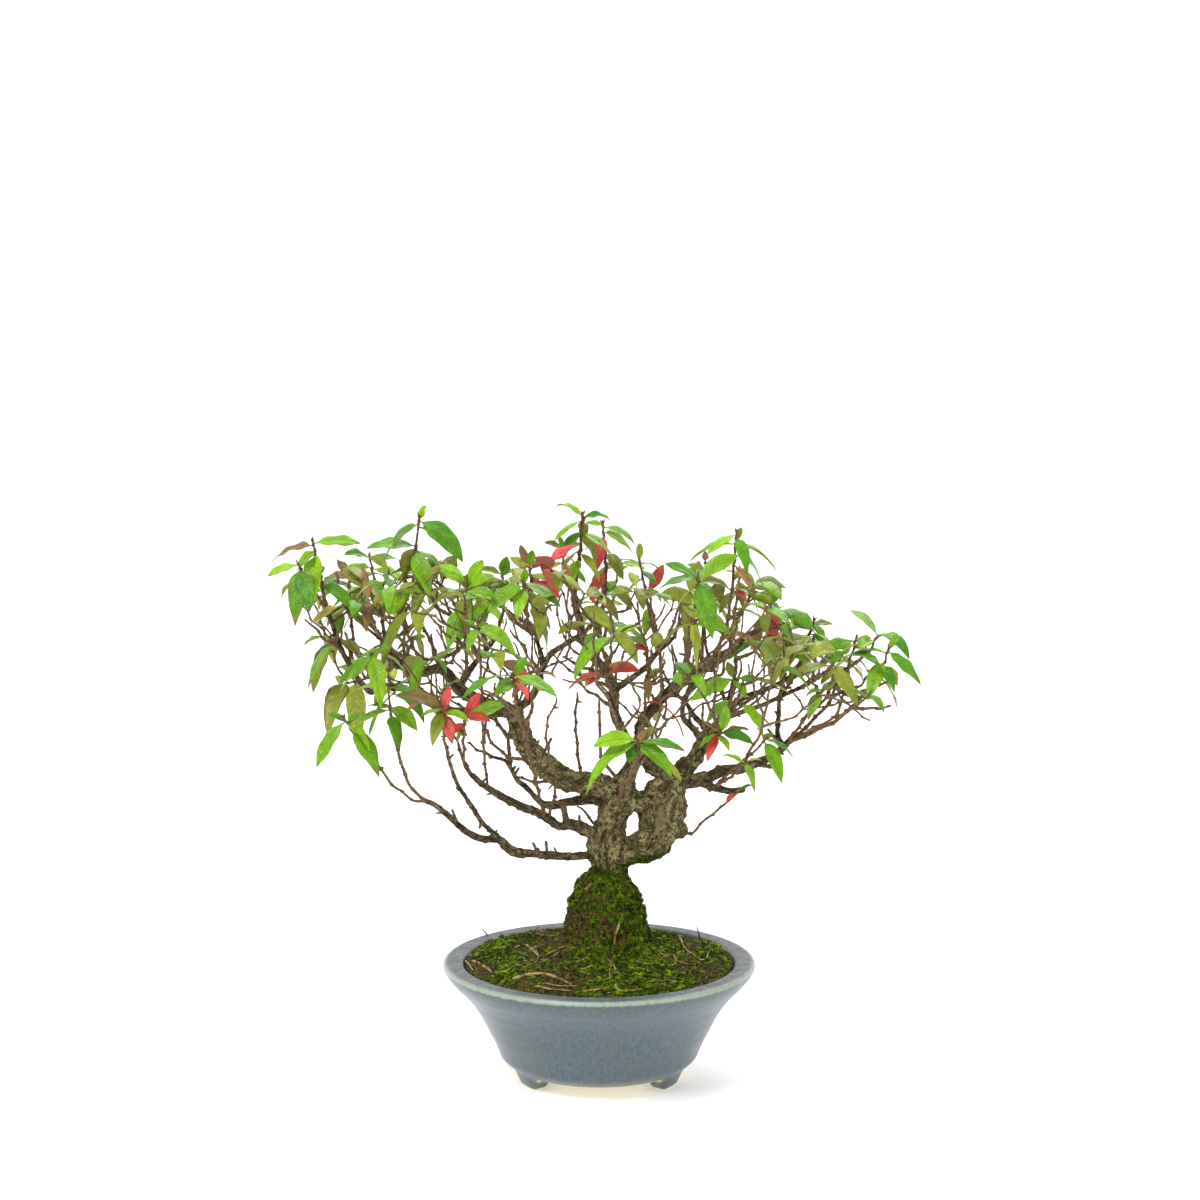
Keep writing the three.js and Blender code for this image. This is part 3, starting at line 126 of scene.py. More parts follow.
LIMBS = [
    # name, carried by, radius at the root, radius at the end, depth at the end, path
    ["trunk", "", 9, 2.7, 4, "5 66 10, 5 96 9.5, 6 111 9.2, 4 119 10.4, 4 126 10.9, 6 134 9, "
     "9 142 8.7, 12 150 9.3, 14 159 6.8, 17 167 4.2, 19 175 2.9, 20 181 2.7"],
    ["right_arm", "trunk", 8, 5.5, 10, "6 119 8, 17 122 8.7, 26 126 10.9, 34 134 11.2, 38 144 9.8, "
     "40 152 7.8, 41 160 6.6, 43 167 5.5"],
    ["right_brace", "trunk", 6, 6, 8, "11 149 6, 22 148.5 6.2, 37 149 6.6"],
    ["right_web", "right_arm", 6, 6, 9, "24 126 7, 29 136 9.4, 28 147 8.2, 34 156 6.5"],
    ["right_upper", "right_arm", 5.4, 2.2, 22, "42 163, 50 170 4.6, 55 179 4.4, 62 189 3.8, "
     "68 195 2.4, 70 201 1.7, 73 215 1.2"],
    ["right_side", "right_upper", 2.2, 1, -18, "55 183, 51 190, 46 194, 45 200, 47 205, 52 216"],
    ["right_inner", "right_upper", 2, 0.9, 42, "56 190, 51 197, 48 203, 40 210, 35 220"],
    ["middle_arm", "right_arm", 3.8, 1.6, 2, "38 159, 28 168, 24 174, 22 179, 22 191, 27 198 3.2, "
     "33 205, 41 212 3.4, 50 218 3.3, 55 222 3.4, 62 226 3.8, 71 231 2.2, 80 239 1.8, 86 243 1.5"],
    ["outer_arm", "right_arm", 4, 1.9, -12, "43 159 4, 53 161 3.9, 61 163 3.4, 67 167, 75 167, "
     "81 168 2.5, 86 171, 92 173, 97 175 2.2, 100 179, 104 183 1.9"],
    ["outer_back", "outer_arm", 1.7, 1.2, 18, "100 179, 97 186, 98 197, 98 205, 100 213"],
    ["cross_back", "right_upper", 1.6, 1.3, 14, "68 194, 77 198, 89 202, 101 208, 111 212"],
    ["cross_high", "right_upper", 2, 1.3, 32, "69 198, 78 206, 90 210, 100 215, 108 220"],
    ["right_spur", "right_arm", 2.4, 1.8, -8, "41 158, 55 160, 62 157, 73 155, 79 156"],
    ["low_left", "trunk", 2.9, 1.6, -34, "4 122, -4 120 2.8, -20 119 2.8, -36 121, -44 121 3, "
     "-50 124 2.9, -53 129 2.3, -65 129, -74 134 2, -81 141, -91 149, -95 150 1.4"],
    ["low_riser", "low_left", 1.7, 1.1, -50, "-51 128, -56 131, -64 138, -70 148, -77 158, -82 172, "
     "-83 179"],
    ["second_left", "trunk", 3.8, 1.3, -26, "4 130, -6 133 3.3, -11 136, -17 138 2.8, -21 135 2.1, "
     "-27 140, -32 143 2.3, -40 146, -49 150, -56 154 2.4, -61 157, -66 161 1.7, -70 164, -73 170"],
    ["third_left", "trunk", 3, 1, 12, "9 152, -12 150 2.8, -20 149, -25 147 2.4, -31 148, -35 152 1.7, "
     "-39 157, -45 161, -50 172, -59 174"],
    ["big_left", "trunk", 7, 4.8, -8, "12 152 7, 1 159 6, -8 160 6, -16 161 6, -24 165 6.4, -32 171 6, "
     "-39 178 6, -43 185 5, -45 192 4.6, -46 199 4.9"],
    ["left_fork", "big_left", 3.8, 2.6, 4, "-46 199 4, -55 201 3.4, -62 203, -70 207, -77 211, "
     "-81 218, -87 223 2.8, -95 220, -103 221, -111 226, -115 229, -117 235 2.6"],
    ["left_lower", "big_left", 3, 1.9, -26, "-46 198, -51 198, -70 198, -84 199, -92 204 2.6, "
     "-100 209, -109 212, -115 212, -125 209"],
    ["left_rim", "left_lower", 1.8, 1.3, -28, "-125 209, -132 217, -136 224, -140 231, -143 239, "
     "-149 257"],
    ["left_middle", "big_left", 2.8, 1.2, 26, "-46 198, -44 201 2.5, -39 204, -35 209, -32 218, "
     "-30 225, -32 231, -34 238"],
    ["left_stray", "left_fork", 1.9, 1.5, 30, "-76 211, -70 222, -61 233, -54 242"],
    ["centre", "trunk", 2.9, 2, 24, "19 175, 12 189, 8 198 2.8, 8 213 2.9, 4 220, -1 227, -6 232, "
     "-9 238 2.4, -10 246, -12 253, -14 261 1.7"],
    ["centre_right", "centre", 2, 1.3, 22, "8 210, 25 222, 32 231, 41 239"],
    ["crossing", "left_middle", 1.9, 1.5, 22, "-31 222, -27 230, -19 235, -9 241"],
]

STUBS = [
    # carried by, radius, depth towards the back, path
    ["low_left", 1.1, 2, "-28 121, -29 128"], ["low_left", 1.2, -2, "-33 121, -36 127"],
    ["low_left", 1.1, -3, "-77 137, -80 145"], ["second_left", 2.4, 6, "-18 138, -20 149"],
    ["big_left", 1.8, -4, "-43 188, -38 196"], ["big_left", 1.3, 4, "-33 171, -26 184"],
    ["outer_arm", 1.6, -4, "85 168, 99 168"], ["outer_arm", 1.2, 6, "99 180, 92 189"],
    ["cross_high", 1.1, 5, "101 215, 110 222"], ["left_rim", 1, 6, "-146 247, -136 254"],
]

BARE_TWIGS = [
    # carried by, radius at the root, radius at the end, depth at the end, path
    ["left_fork", 1.5, 0.9, -14, "-114 238, -112 231, -107 229, -92 227"],
    ["left_fork", 1.3, 0.8, -6, "-106 224, -106 248, -104 257"],
    ["left_fork", 1.2, 0.7, 22, "-117 235, -129 247, -138 255"],
    ["left_fork", 1.3, 0.7, -16, "-87 223, -92 238, -100 250, -110 265"],
    ["second_left", 1.2, 0.8, -18, "-73 168, -78 185, -86 185"],
    ["big_left", 1.4, 0.8, 24, "-18 158, -35 160, -45 163"],
    ["big_left", 1.4, 0.8, -30, "-38 168, -49 173, -59 182, -63 191"],
    ["big_left", 1.3, 0.8, 18, "-45 180, -51 186, -57 195"],
    ["third_left", 1, 0.7, -8, "-59 174, -68 179, -72 182"],
    ["big_left", 1.2, 0.8, 40, "-10 160, -12 180, -13 194, -12 209"],
    ["trunk", 1.4, 0.9, -26, "14 158, 1 172, 0 205"],
    ["middle_arm", 1.4, 0.8, -12, "35 206, 33 232, 30 249, 27 257"],
    ["middle_arm", 1.4, 0.8, 36, "46 216, 47 235, 47 251"],
    ["second_left", 1.1, 0.7, -58, "-26 141, -23 161, -28 177, -29 191, -23 206"],
    ["trunk", 1.2, 0.8, 6, "-4 134, -6 140, -8 144, -12 147"],
    ["right_upper", 1.4, 0.8, 8, "55 205, 57 237, 58 243, 55 257"],
]

SHOOTS = [
    # name, carried by, radius at the root, depth at the tip, path up to the tip, and leaves:
    # colour (green, olive, tan, red or yellow), how far below the shoot's tip, then u, y
    # and v from there to the leaf's own tip
    ["far_left", "left_rim", 1.3, -34, "-149 257, -152 273, -156 291", "g 0 26 4 1, t 0 -23 6 -7, "
     "g 2 -9 -12 -11, g 3 -1 -11 -24, g 19 17 -6 -13, g 17 -14 -6 -12, o 13 -10 11 -12, o 15 12 8 -8"],
    ["left_edge", "left_rim", 1.1, -58, "-148 254, -158 268, -164 279", "g 0 -17 -3 -4, "
     "g 2 -3 -10 -29, g 2 5 -12 -22, g 5 -12 8 -12, o 3 9 14 -6"],
    ["left_top_a", "left_rim", 1.2, 22, "-136 224, -134 240, -136 258, -136 273",
     "t 0 -7 4 11, t 1 -14 10 2, o 2 10 -10 2, g 5 9 14 -6, o 20 -12 8 -6, o 22 8 -10 -8"],
    ["left_top_b", "left_fork", 1.5, 30, "-117 235, -118 250, -122 267, -125 283",
     "g 0 -14 -8 4, g 0 15 6 2, g 4 -21 7 -4, g 4 18 -10 -5, g 9 2 -14 -17"],
    ["left_crown", "left_fork", 1.6, -32, "-117 235, -107 255, -101 270, -100 287, -98 304",
     "g 0 4 -4 9, g 0 24 -6 -20, g 1 -19 6 -17, g 2 21 12 -13, g 13 -27 -6 1, o 13 -6 12 -17, "
     "g 14 8 -17 -26, g 14 15 9 -8, t 29 -10 12 -5, o 23 10 8 -12"],
    ["left_small", "left_fork", 1.3, 62, "-117 234, -123 247, -126 260", "o 0 -11 -6 -3, o 0 10 8 -3, "
     "g 3 -6 12 5, o 6 9 -8 -8"],
    ["left_tendril", "left_rim", 1, -46, "-140 230, -145 236", "g 0 -14 -8 -21, g 1 -6 12 -12"],
    ["left_front", "left_lower", 1.3, -84, "-122 210, -126 220, -124 230", "g 0 5 -12 -26, "
     "g 0 -10 -13 -14, g 0 11 -2 7, g 7 -17 -4 -17, g 10 -16 2 -9, o 1 8 14 -7"],
    ["left_low_a", "low_left", 1.3, -68, "-95 150, -104 159, -108 171, -110 178, -112 187, -114 201, "
     "-115 213", "g 0 27 -4 -15, o 1 -7 12 -8, g 11 15 -13 -12, g 12 -20 -7 -8, o 10 -12 10 3, "
     "g 13 5 -14 -17"],
    ["left_low_b", "low_left", 1, -56, "-95 150, -101 150, -111 157, -120 168, -133 186, -139 195",
     "g 1 -16 -6 -23, g 2 12 -11 -13, g 5 15 -8 -24, g 0 -11 4 7, g 0 6 12 7"],
    ["left_olive", "left_fork", 1.2, -34, "-87 222, -80 226, -77 234", "o 0 -20 -7 -12, o 0 9 10 -6, "
     "g 2 10 -10 6"],
    ["left_dot", "left_fork", 1, 14, "-103 222, -104 231, -102 238", "o 0 -8 -7 -4, g 0 8 8 4"],
    ["red_left", "low_riser", 1, -82, "-83 179, -85 187, -85 201", "t 0 -26 -2 9, g 0 -12 -14 -4, "
     "r 0 4 -3 14, o 2 -6 -10 -16, r 3 5 -8 -16, g 1 14 -10 -4"],
    ["red_middle", "second_left", 1.1, -62, "-73 170, -74 180, -73 196", "r 0 14 -8 -1, g 0 23 -4 8, "
     "g 0 5 10 9, r 1 8 -2 16, r 2 -8 -9 -7, o 3 -4 12 -9"],
    ["light_top", "left_fork", 1.5, -38, "-76 212, -72 222, -73 245, -72 270",
     "g 0 -10 -6 6, g 0 -18 5 11, g 0 9 6 15, g 1 15 -5 7, o 2 24 8 4, g 2 18 -8 -6, t 4 14 11 3, "
     "g 9 -10 -15 -22, g 14 12 -4 -8, o 16 -9 10 -8"],
    ["front_star", "second_left", 1.4, -108, "-30 142, -36 167, -39 180, -45 202, -47 219",
     "g 0 -28 -6 -9, g 0 24 -8 -11, g 0 8 -2 13, g 3 22 4 -6, r 1 9 8 4, r 2 8 -12 -9, g 2 -10 -15 -7, "
     "g 4 -9 12 2"],
    ["back_tall", "left_stray", 1.4, 46, "-55 241, -52 255, -53 274", "o 0 -12 -5 4, o 0 12 6 5, "
     "g 0 3 -9 12, o 4 -8 11 -5, o 8 10 6 -8, g 9 -10 -6 -10"],
    ["front_pair", "left_middle", 1.4, -62, "-34 238, -39 249, -41 269", "g 4 -20 -8 -14, "
     "g 1 20 -8 -11, g 0 1 -5 9, g 5 -4 -13 -17, o 0 -8 11 5, o 2 11 11 0, o 8 14 5 -19"],
    ["upright_fan", "left_middle", 1.4, 34, "-34 238, -36 257, -38 279", "t 0 -5 2 12, g 0 2 -5 11, "
     "o 0 -11 5 7, t 0 10 7 9, o 2 13 -6 -2, r 5 16 -6 -7, o 8 -12 -6 -6, g 10 11 8 -8, "
     "o 14 4 -12 -12, t 3 4 10 8"],
    ["behind_top", "centre", 1.5, 62, "-14 260, -19 275, -20 288", "o 0 -10 -5 4, o 0 10 5 4, "
     "g 0 -3 -9 9, t 3 8 11 -6, o 16 -6 -9 -15, o 8 -12 6 -8, g 9 12 -6 -8, r 6 4 -12 -14, "
     "o 18 10 8 -10"],
    ["front_thin", "second_left", 1.1, -88, "-61 157, -63 180, -64 212, -66 246",
     "g 0 21 -6 -16, g 1 -6 -9 -13, g 0 -9 -2 6, o 2 7 11 -4"],
    ["summit", "centre", 1.7, 2, "-14 260, -12 275, -10 289, -9 306", "g 0 -14 3 8, g 0 15 -3 1, "
     "g 1 -15 -8 -9, o 1 1 11 -9, g 6 -11 -7 -13, g 6 19 -6 -15, o 7 8 12 -13, t 0 3 -6 6, "
     "o 14 -10 8 -12, o 15 11 -6 -14, g 18 -4 -12 -14"],
    ["summit_right", "centre", 1.7, 32, "-9 240, 2 252, 4 275, 2 301", "g 0 -10 4 2, g 0 17 -4 -8, "
     "g 2 16 10 -10, r 3 -4 -8 -18, r 22 -9 -6 -15, o 5 -11 10 -4, o 10 10 -8 -14, o 14 8 10 -8, "
     "g 16 -8 8 -10"],
    ["brown_tip", "centre_right", 1.3, 58, "32 231, 27 255, 22 281", "o 0 0 4 12, o 0 -10 -7 2, "
     "o 0 10 8 -1, g 3 8 -10 -7, o 8 -10 6 -8, g 12 9 6 -8"],
    ["deep_middle", "centre", 1.4, 82, "-1 227, 6 250, 11 280", "g 0 14 -7 -3, t 0 -8 4 6, "
     "t 1 -11 -6 -2, g 12 -8 -11 -9, o 3 7 12 4, g 14 9 -6 -12"],
    ["deep_right", "centre_right", 1.3, 70, "32 231, 30 248, 27 264", "r 0 8 -4 16, t 0 -9 5 3, "
     "t 0 11 7 -2, g 10 -4 -9 -16, o 3 -5 11 6"],
    ["big_front", "middle_arm", 1.6, -92, "49 218, 48 235, 53 259, 54 272", "g 0 -21 -6 -5, "
     "g 0 -18 5 9, g 0 22 3 14, g 2 8 -14 -29, o 1 18 6 -3, g 0 2 11 8, o 6 -12 8 -12, g 7 12 8 -10"],
    ["right_bud", "middle_arm", 1.4, 26, "55 222, 57 238, 56 258, 58 278", "t 0 0 2 10, o 0 -10 5 3, "
     "o 0 10 -6 2, g 4 -4 -11 -7, o 10 -9 -8 -8, g 12 10 6 -6, o 16 -8 8 -6"],
    ["right_crown", "middle_arm", 1.5, -24, "62 226, 70 247, 73 270, 75 296",
     "g 0 -16 -8 -10, g 1 6 -11 -18, g 4 22 -4 -12, g 5 15 9 -20, g 2 -25 7 -8, g 0 3 5 9, "
     "o 10 -12 -6 -6, t 12 10 -6 -12"],
    ["right_olive", "middle_arm", 1.3, 52, "71 231, 74 252, 77 276", "o 0 8 -7 -10, t 7 2 -9 -13, "
     "o 9 11 7 -13, o 0 -10 9 3, g 2 5 12 6, o 12 -10 -6 -10"],
    ["right_red", "middle_arm", 1.4, 16, "86 243, 91 249, 94 257", "t 0 -16 4 9, o 0 5 -5 14, "
     "r 1 2 -12 -19, g 3 15 -5 -18, t 4 -6 9 -18, r 0 9 9 3"],
    ["right_dark", "outer_back", 1.2, 62, "100 213, 103 227, 101 243", "g 6 -6 -8 -17, o 0 -10 7 4, "
     "o 0 10 -6 4, g 1 4 11 8, o 10 9 6 -9"],
    ["right_mid", "cross_high", 1.3, 34, "108 220, 113 235, 117 248", "g 0 -13 -5 -3, g 1 7 -9 -6, "
     "o 0 11 8 2, g 11 -9 -9 -8, g 3 13 -5 -7, g 0 -4 11 5, o 8 -10 6 -8"],
    ["right_lobe", "outer_arm", 1.5, -6, "104 183, 118 195, 125 203, 130 214, 136 224, 140 238",
     "g 0 -20 -7 -6, g 0 9 -8 3, o 2 10 10 -4, g 8 -8 12 -5, g 10 8 8 -8"],
    ["right_thin", "outer_arm", 1.2, 44, "104 183, 113 196, 124 206, 129 220, 133 231",
     "o 0 -22 3 -3, o 2 -14 10 -5, g 0 7 -7 7, g 3 12 8 -4, o 8 -9 -6 -9"],
    ["right_faint", "cross_back", 1.2, 68, "111 212, 119 218, 121 225", "o 0 -11 -6 4, g 0 10 6 5, "
     "o 2 -7 10 -5"],
    ["right_hang", "cross_back", 1.2, -30, "111 212, 120 217, 127 224", "o 0 -25 -9 -10, "
     "o 1 15 -10 -22, g 0 6 5 10, g 2 8 12 -7"],
    ["far_right", "outer_arm", 1.7, -18, "104 183, 116 187, 128 193, 134 197, 141 205, 149 213, "
     "155 224, 158 233", "g 0 5 -3 9, g 0 18 -5 -17, g 0 -20 -5 0, g 4 -9 -11 -20, g 5 6 -13 -14, "
     "o 5 8 10 -9, g 10 11 5 -16, g 14 -8 6 -12"],
    ["right_under", "outer_arm", 1.1, -48, "134 197, 140 201, 147 208", "g 0 9 -6 -8, g 0 -9 -5 4"],
    ["right_low", "outer_arm", 1.1, -44, "104 183, 114 198, 122 211", "g 0 -9 -5 -3, g 1 -7 -9 -13, "
     "o 0 8 7 6"],
    ["front_low", "trunk", 1.5, -116, "8 146, 12 156, 17 164, 20 172, 21 183",
     "g 0 -24 -3 -3, g 2 -28 -11 -23, g 1 -15 9 7, g 0 26 -3 -3, g 2 19 -11 -18, g 1 24 8 -19, "
     "t 0 5 5 9, o 0 9 11 11, g 3 -5 -15 -8"],
    ["right_star", "right_side", 1.2, -64, "50 190, 59 184, 67 187", "t 0 -10 -2 7, g 0 3 -3 16, "
     "g 0 18 -7 -4, g 1 -11 -7 -7, t 0 16 6 4, r 3 -6 -9 -13, g 2 6 -14 -9"],
    ["right_pair", "right_upper", 1.2, 8, "70 196, 74 205", "g 0 -15 -8 -9, o 0 9 9 4"],
    ["right_wide", "right_upper", 1.2, -44, "69 193, 72 205, 74 217", "g 0 30 -5 -8, g 0 -24 -4 -11, "
     "o 0 -4 7 10, g 1 6 -13 -8"],
    ["right_drop", "right_upper", 1.1, -34, "68 191, 74 197, 78 203", "g 0 12 -9 -17, o 0 17 5 -13"],
    ["spur_tip", "right_spur", 1.1, -56, "62 157, 74 168, 86 178, 91 184", "g 0 15 -7 -9, "
     "g 2 10 -5 -21, g 0 -4 -7 8, o 0 5 9 6"],
    ["spur_front", "right_spur", 1.1, -72, "62 157, 72 163, 80 171", "g 0 5 -9 -15, g 0 -13 -4 6, "
     "g 0 9 -6 3"],
    ["spur_fine", "right_arm", 1, -14, "43 127, 51 132, 59 141, 69 148, 76 156",
     "g 0 9 -5 4, r 1 -5 -8 -5"],
    ["red_centre", "centre", 1.2, -44, "8 205, 6 212, 2 220", "r 0 -19 -7 -9, r 0 20 -5 3, "
     "g 1 -19 9 -5, y 0 15 8 8, r 1 -9 -14 -5"],
    ["bronze_leaf", "middle_arm", 1, -30, "24 196, 25 206, 26 218", "t 0 1 -5 -12, o 0 8 5 5"],
    ["back_left", "left_fork", 1.4, 84, "-95 220, -104 240, -108 262", "g 0 -15 10 -4, g 0 14 12 -2, "
     "g 1 -3 16 -12, o 1 5 -11 6, g 3 -14 -8 -8, o 9 12 8 -9"],
    ["back_middle_left", "left_stray", 1.4, 98, "-61 232, -63 245, -64 258", "g 0 -15 8 2, "
     "g 0 15 10 -3, g 1 0 17 -12, o 1 -4 -12 6, g 3 12 -8 -9, o 9 -11 8 -9"],
    ["back_middle", "centre", 1.5, 104, "8 213, 2 232, -2 258", "g 0 -15 9 -1, g 0 15 9 0, "
     "g 1 2 17 -13, r 1 -3 4 13, g 3 -12 -7 -10, o 9 11 8 -10"],
    ["back_middle_right", "centre_right", 1.5, 98, "25 222, 38 240, 46 262", "g 0 -14 11 -4, "
     "g 0 15 8 2, g 1 4 16 -13, o 1 -5 -11 6, g 3 11 -8 -10, o 9 -10 9 -9"],
    ["back_right", "outer_back", 1.3, 84, "98 205, 108 220, 112 238", "g 0 -14 10 2, g 0 14 10 -4, "
     "g 1 1 17 -12, o 1 4 -10 7, o 9 10 8 -10"],
]


# Camera

def add_camera():
    """The eye of the picture: it looks down a little, and its lens gives the picture's width."""
    lens = bpy.data.cameras.new("camera")
    lens.lens = LENS
    lens.sensor_width = SENSOR
    lens.clip_start = 0.05
    lens.clip_end = 20
    camera = bpy.data.objects.new("camera", lens)
    camera.location = AXIS + (EYE + [EYE_ASIDE, 0, 0]) * MM
    camera.rotation_euler = (math.pi / 2 - EYE_PITCH, 0, 0)
    bpy.context.scene.collection.objects.link(camera)
    bpy.context.scene.camera = camera


add_camera()


# Points, noise and paths

def norm(vectors):
    return vectors / np.maximum(np.linalg.norm(vectors, axis=-1, keepdims=True), 1e-9)


def smoothstep(low, high, values):
    """0 below low, 1 above high, and 3t^2 - 2t^3 between."""
    t = np.clip((values - low) / (high - low), 0, 1)
    return t * t * (3 - 2 * t)


def lattice_noise(points, seed):
    """Smooth noise from -1 to 1: hashed values at the corners of unit cubes, blended across
    each cube by 3t^2 - 2t^3 along each axis."""
    corner = np.floor(points).astype(np.int64)
    t = points - corner
    t = t * t * (3 - 2 * t)
    total = np.zeros(points.shape[:-1])
    for step in np.ndindex(2, 2, 2):
        key = (corner + step) * np.array([73856093, 19349663, 83492791])
        mixed = (key[..., 0] ^ key[..., 1] ^ key[..., 2]) + seed * 668265263
        mixed = (mixed ^ (mixed >> 15)) * 2246822519 & 0xFFFFFFFF
        mixed = (mixed ^ (mixed >> 13)) * 3266489917 & 0xFFFFFFFF
        weight = np.prod(np.where(np.array(step) == 1, t, 1 - t), axis=-1)
        total += weight * ((mixed >> 8 & 0xFFFF) / 32767.5 - 1)
    return total


def layered_noise(points, cell, layers, seed):
    """Noise of the given cell plus layers at half the cell and half the height each."""
    total = sum(lattice_noise(points / cell * 2 ** k, seed + k) / 2 ** k for k in range(layers))
    return total / (2 - 2.0 ** (1 - layers))


FORWARD = np.array([0, math.cos(EYE_PITCH), -math.sin(EYE_PITCH)])
UPWARD = np.array([0, math.sin(EYE_PITCH), math.cos(EYE_PITCH)])


def sight_line(u, v):
    """Forward to the picture, then v up it from its centre and u to the right."""
    lift = np.asarray(v, float)[..., None] - PICTURE_CENTRE
    aside = np.asarray(u, float)[..., None] * np.array([1.0, 0, 0])
    return FORWARD * PICTURE_DISTANCE + UPWARD * lift + aside


def place(u, y, v):
    """The point that a picture point stands for: its sight line, cut at depth y."""
    sight = sight_line(u, v)
    return EYE + sight * ((np.asarray(y, float) - EYE[1]) / sight[..., 1])[..., None]


def picture_point(points):
    """Where points stand in the picture: u to the right and v above the foot line."""
    sight = points - EYE
    scale = PICTURE_DISTANCE / (sight @ FORWARD)
    return sight[..., 0] * scale, PICTURE_CENTRE + (sight @ UPWARD) * scale


def arc_of(points):
    """The length of the path up to each of its points."""
    return np.concatenate([[0], np.cumsum(np.linalg.norm(np.diff(points, axis=0), axis=1))])


def nearest_on(path, spot):
    """The picture point and depth on a path that lie nearest to a picture point."""
    a, b = path["uv"][:-1], path["uv"][1:]
    reach = b - a
    t = np.clip(((spot - a) * reach).sum(1) / (reach ** 2).sum(1), 0, 1)
    found = a + t[:, None] * reach
    best = np.linalg.norm(found - spot, axis=1).argmin()
    depths = path["depth"]
    return found[best], depths[best] + t[best] * (depths[best + 1] - depths[best])


def spots_of(text):
    """The picture points that a path's text gives."""
    return [[float(number) for number in spot.split()] for spot in text.split(",")]


def lay_path(parent, root_radius, end_radius, end_depth, text):
    """A path from its parent through picture points. Depth, and the radius where none is
    given, run evenly with the length in the picture."""
    spots = spots_of(text)
    uv = np.array([spot[:2] for spot in spots], float)
    start_depth = 0
    if parent:
        uv[0], start_depth = nearest_on(parent, uv[0])
    run = arc_of(uv)
    share = run / run[-1]
    depth = start_depth + (end_depth - start_depth) * share
    even = root_radius + (end_radius - root_radius) * share
    given = np.array([spot[2] if len(spot) > 2 else np.nan for spot in spots])
    radius = np.where(np.isnan(given), even, given)
    return {"uv": uv, "depth": depth, "radius": radius, "point": place(uv[:, 0], depth, uv[:, 1])}


def picture_spot(path, distance):
    """Picture u, v and depth at a length along the path."""
    run = arc_of(path["point"])
    columns = [path["uv"][:, 0], path["uv"][:, 1], path["depth"]]
    return [np.interp(distance, run, column) for column in columns]


def softened(rows, run, step, width):
    """Rows of values along a run, read again in even steps and averaged under a bell of the
    given width. Past its ends the line goes on turned half round the end point, which keeps
    both ends in place."""
    count = max(4, int(round(run[-1] / step)) + 1)
    at = np.linspace(0, run[-1], count)
    even = np.stack([np.interp(at, run, column) for column in rows.T], -1)
    reach = min(count - 1, int(3 * width / at[1]) + 1)
    long = np.vstack([2 * even[0] - even[reach:0:-1], even, 2 * even[-1] - even[-2:-reach - 2:-1]])
    bell = np.exp(-0.5 * (np.arange(-reach, reach + 1) * at[1] / width) ** 2)
    return np.stack([np.convolve(column, bell / bell.sum(), "valid") for column in long.T], -1)


def rounded(path, step=PATH_STEP, width=BEND_WIDTH):
    """The path's points and radii in even steps, with its corners rounded."""
    rows = np.column_stack([path["point"], path["radius"]])
    soft = softened(rows, arc_of(path["point"]), step, width)
    return soft[:, :3], soft[:, 3]


def sideways(side, across, angle):
    """The direction square to a path at an angle round it, from side towards across."""
    return side * math.cos(angle) + across * math.sin(angle)


# Shapes: each is its points and a list of face arrays, one array for each number of corners

def ring_faces(rings, sides):
    """Quads between rings of points, each ring closed on itself, and a flat face at both ends."""
    k = np.arange(sides)
    start = (np.arange(rings - 1) * sides)[:, None]
    a, b = start + k, start + (k + 1) % sides
    quads = np.stack([a, b, b + sides, a + sides], -1).reshape(-1, 4)
    last = (rings - 1) * sides
    return [quads, k[None, ::-1], last + k[None]]


def carried_frames(centres):
    """Along, side and across at each point of a path: the side is carried from point to
    point and kept square to the path."""
    along = norm(np.gradient(centres, axis=0))
    side = np.empty_like(along)
    kept = np.array([0.31, 0.87, 0.38])
    for i, direction in enumerate(along):
        kept = kept - direction * (kept @ direction)
        kept = kept / np.linalg.norm(kept)
        side[i] = kept
    return along, side, np.cross(along, side)


def tube(centres, radii, sides):
    """A stem: circles of the given radii square to a path, drawn in to a dome at its ends.
    radii holds one value for each ring, or one for each ring and side."""
    along, side, across = carried_frames(centres)
    radii = np.asarray(radii, float)
    if radii.ndim == 1:
        radii = np.repeat(radii[:, None], sides, 1)
    dome = 0.45 * radii[[0, -1]].mean(1)[:, None]
    centres = np.vstack([centres[0] - along[0] * dome[0], centres, centres[-1] + along[-1] * dome[1]])
    radii = np.vstack([radii[0] * 0.5, radii, radii[-1] * 0.5])
    side = np.vstack([side[0], side, side[-1]])[:, None]
    across = np.vstack([across[0], across, across[-1]])[:, None]
    angle = 2 * np.pi * np.arange(sides)[:, None] / sides
    points = centres[:, None] + radii[..., None] * (np.cos(angle) * side + np.sin(angle) * across)
    return points.reshape(-1, 3), ring_faces(len(centres), sides)


def joined(shapes):
    """Shapes set one after the other as one: each one's faces count on from the points before."""
    points = np.concatenate([shape[0] for shape in shapes])
    starts = np.cumsum([0] + [len(shape[0]) for shape in shapes[:-1]])
    faces = [array + start for start, shape in zip(starts, shapes) for array in shape[1]]
    return points, faces


def spread_over(shapes, values):
    """One row of values for each shape, repeated for each of its points."""
    return np.repeat(np.asarray(values, float), [len(shape[0]) for shape in shapes], axis=0)


def repeated(faces, count, points_each):
    """A shape's faces once for each of its copies, which count on from the points before."""
    starts = (np.arange(count) * points_each)[:, None, None]
    return [(array[None] + starts).reshape(-1, array.shape[1]) for array in faces]


def copies(template, faces, places, frames, sizes):
    """A small shape set many times: its points are scaled, turned into each place's own
    frame of three vectors, and moved there."""
    turned = np.einsum("nij,kj->nki", frames, template) * sizes[:, None, None]
    points = (turned + places[:, None]).reshape(-1, 3)
    return points, repeated(faces, len(places), len(template))


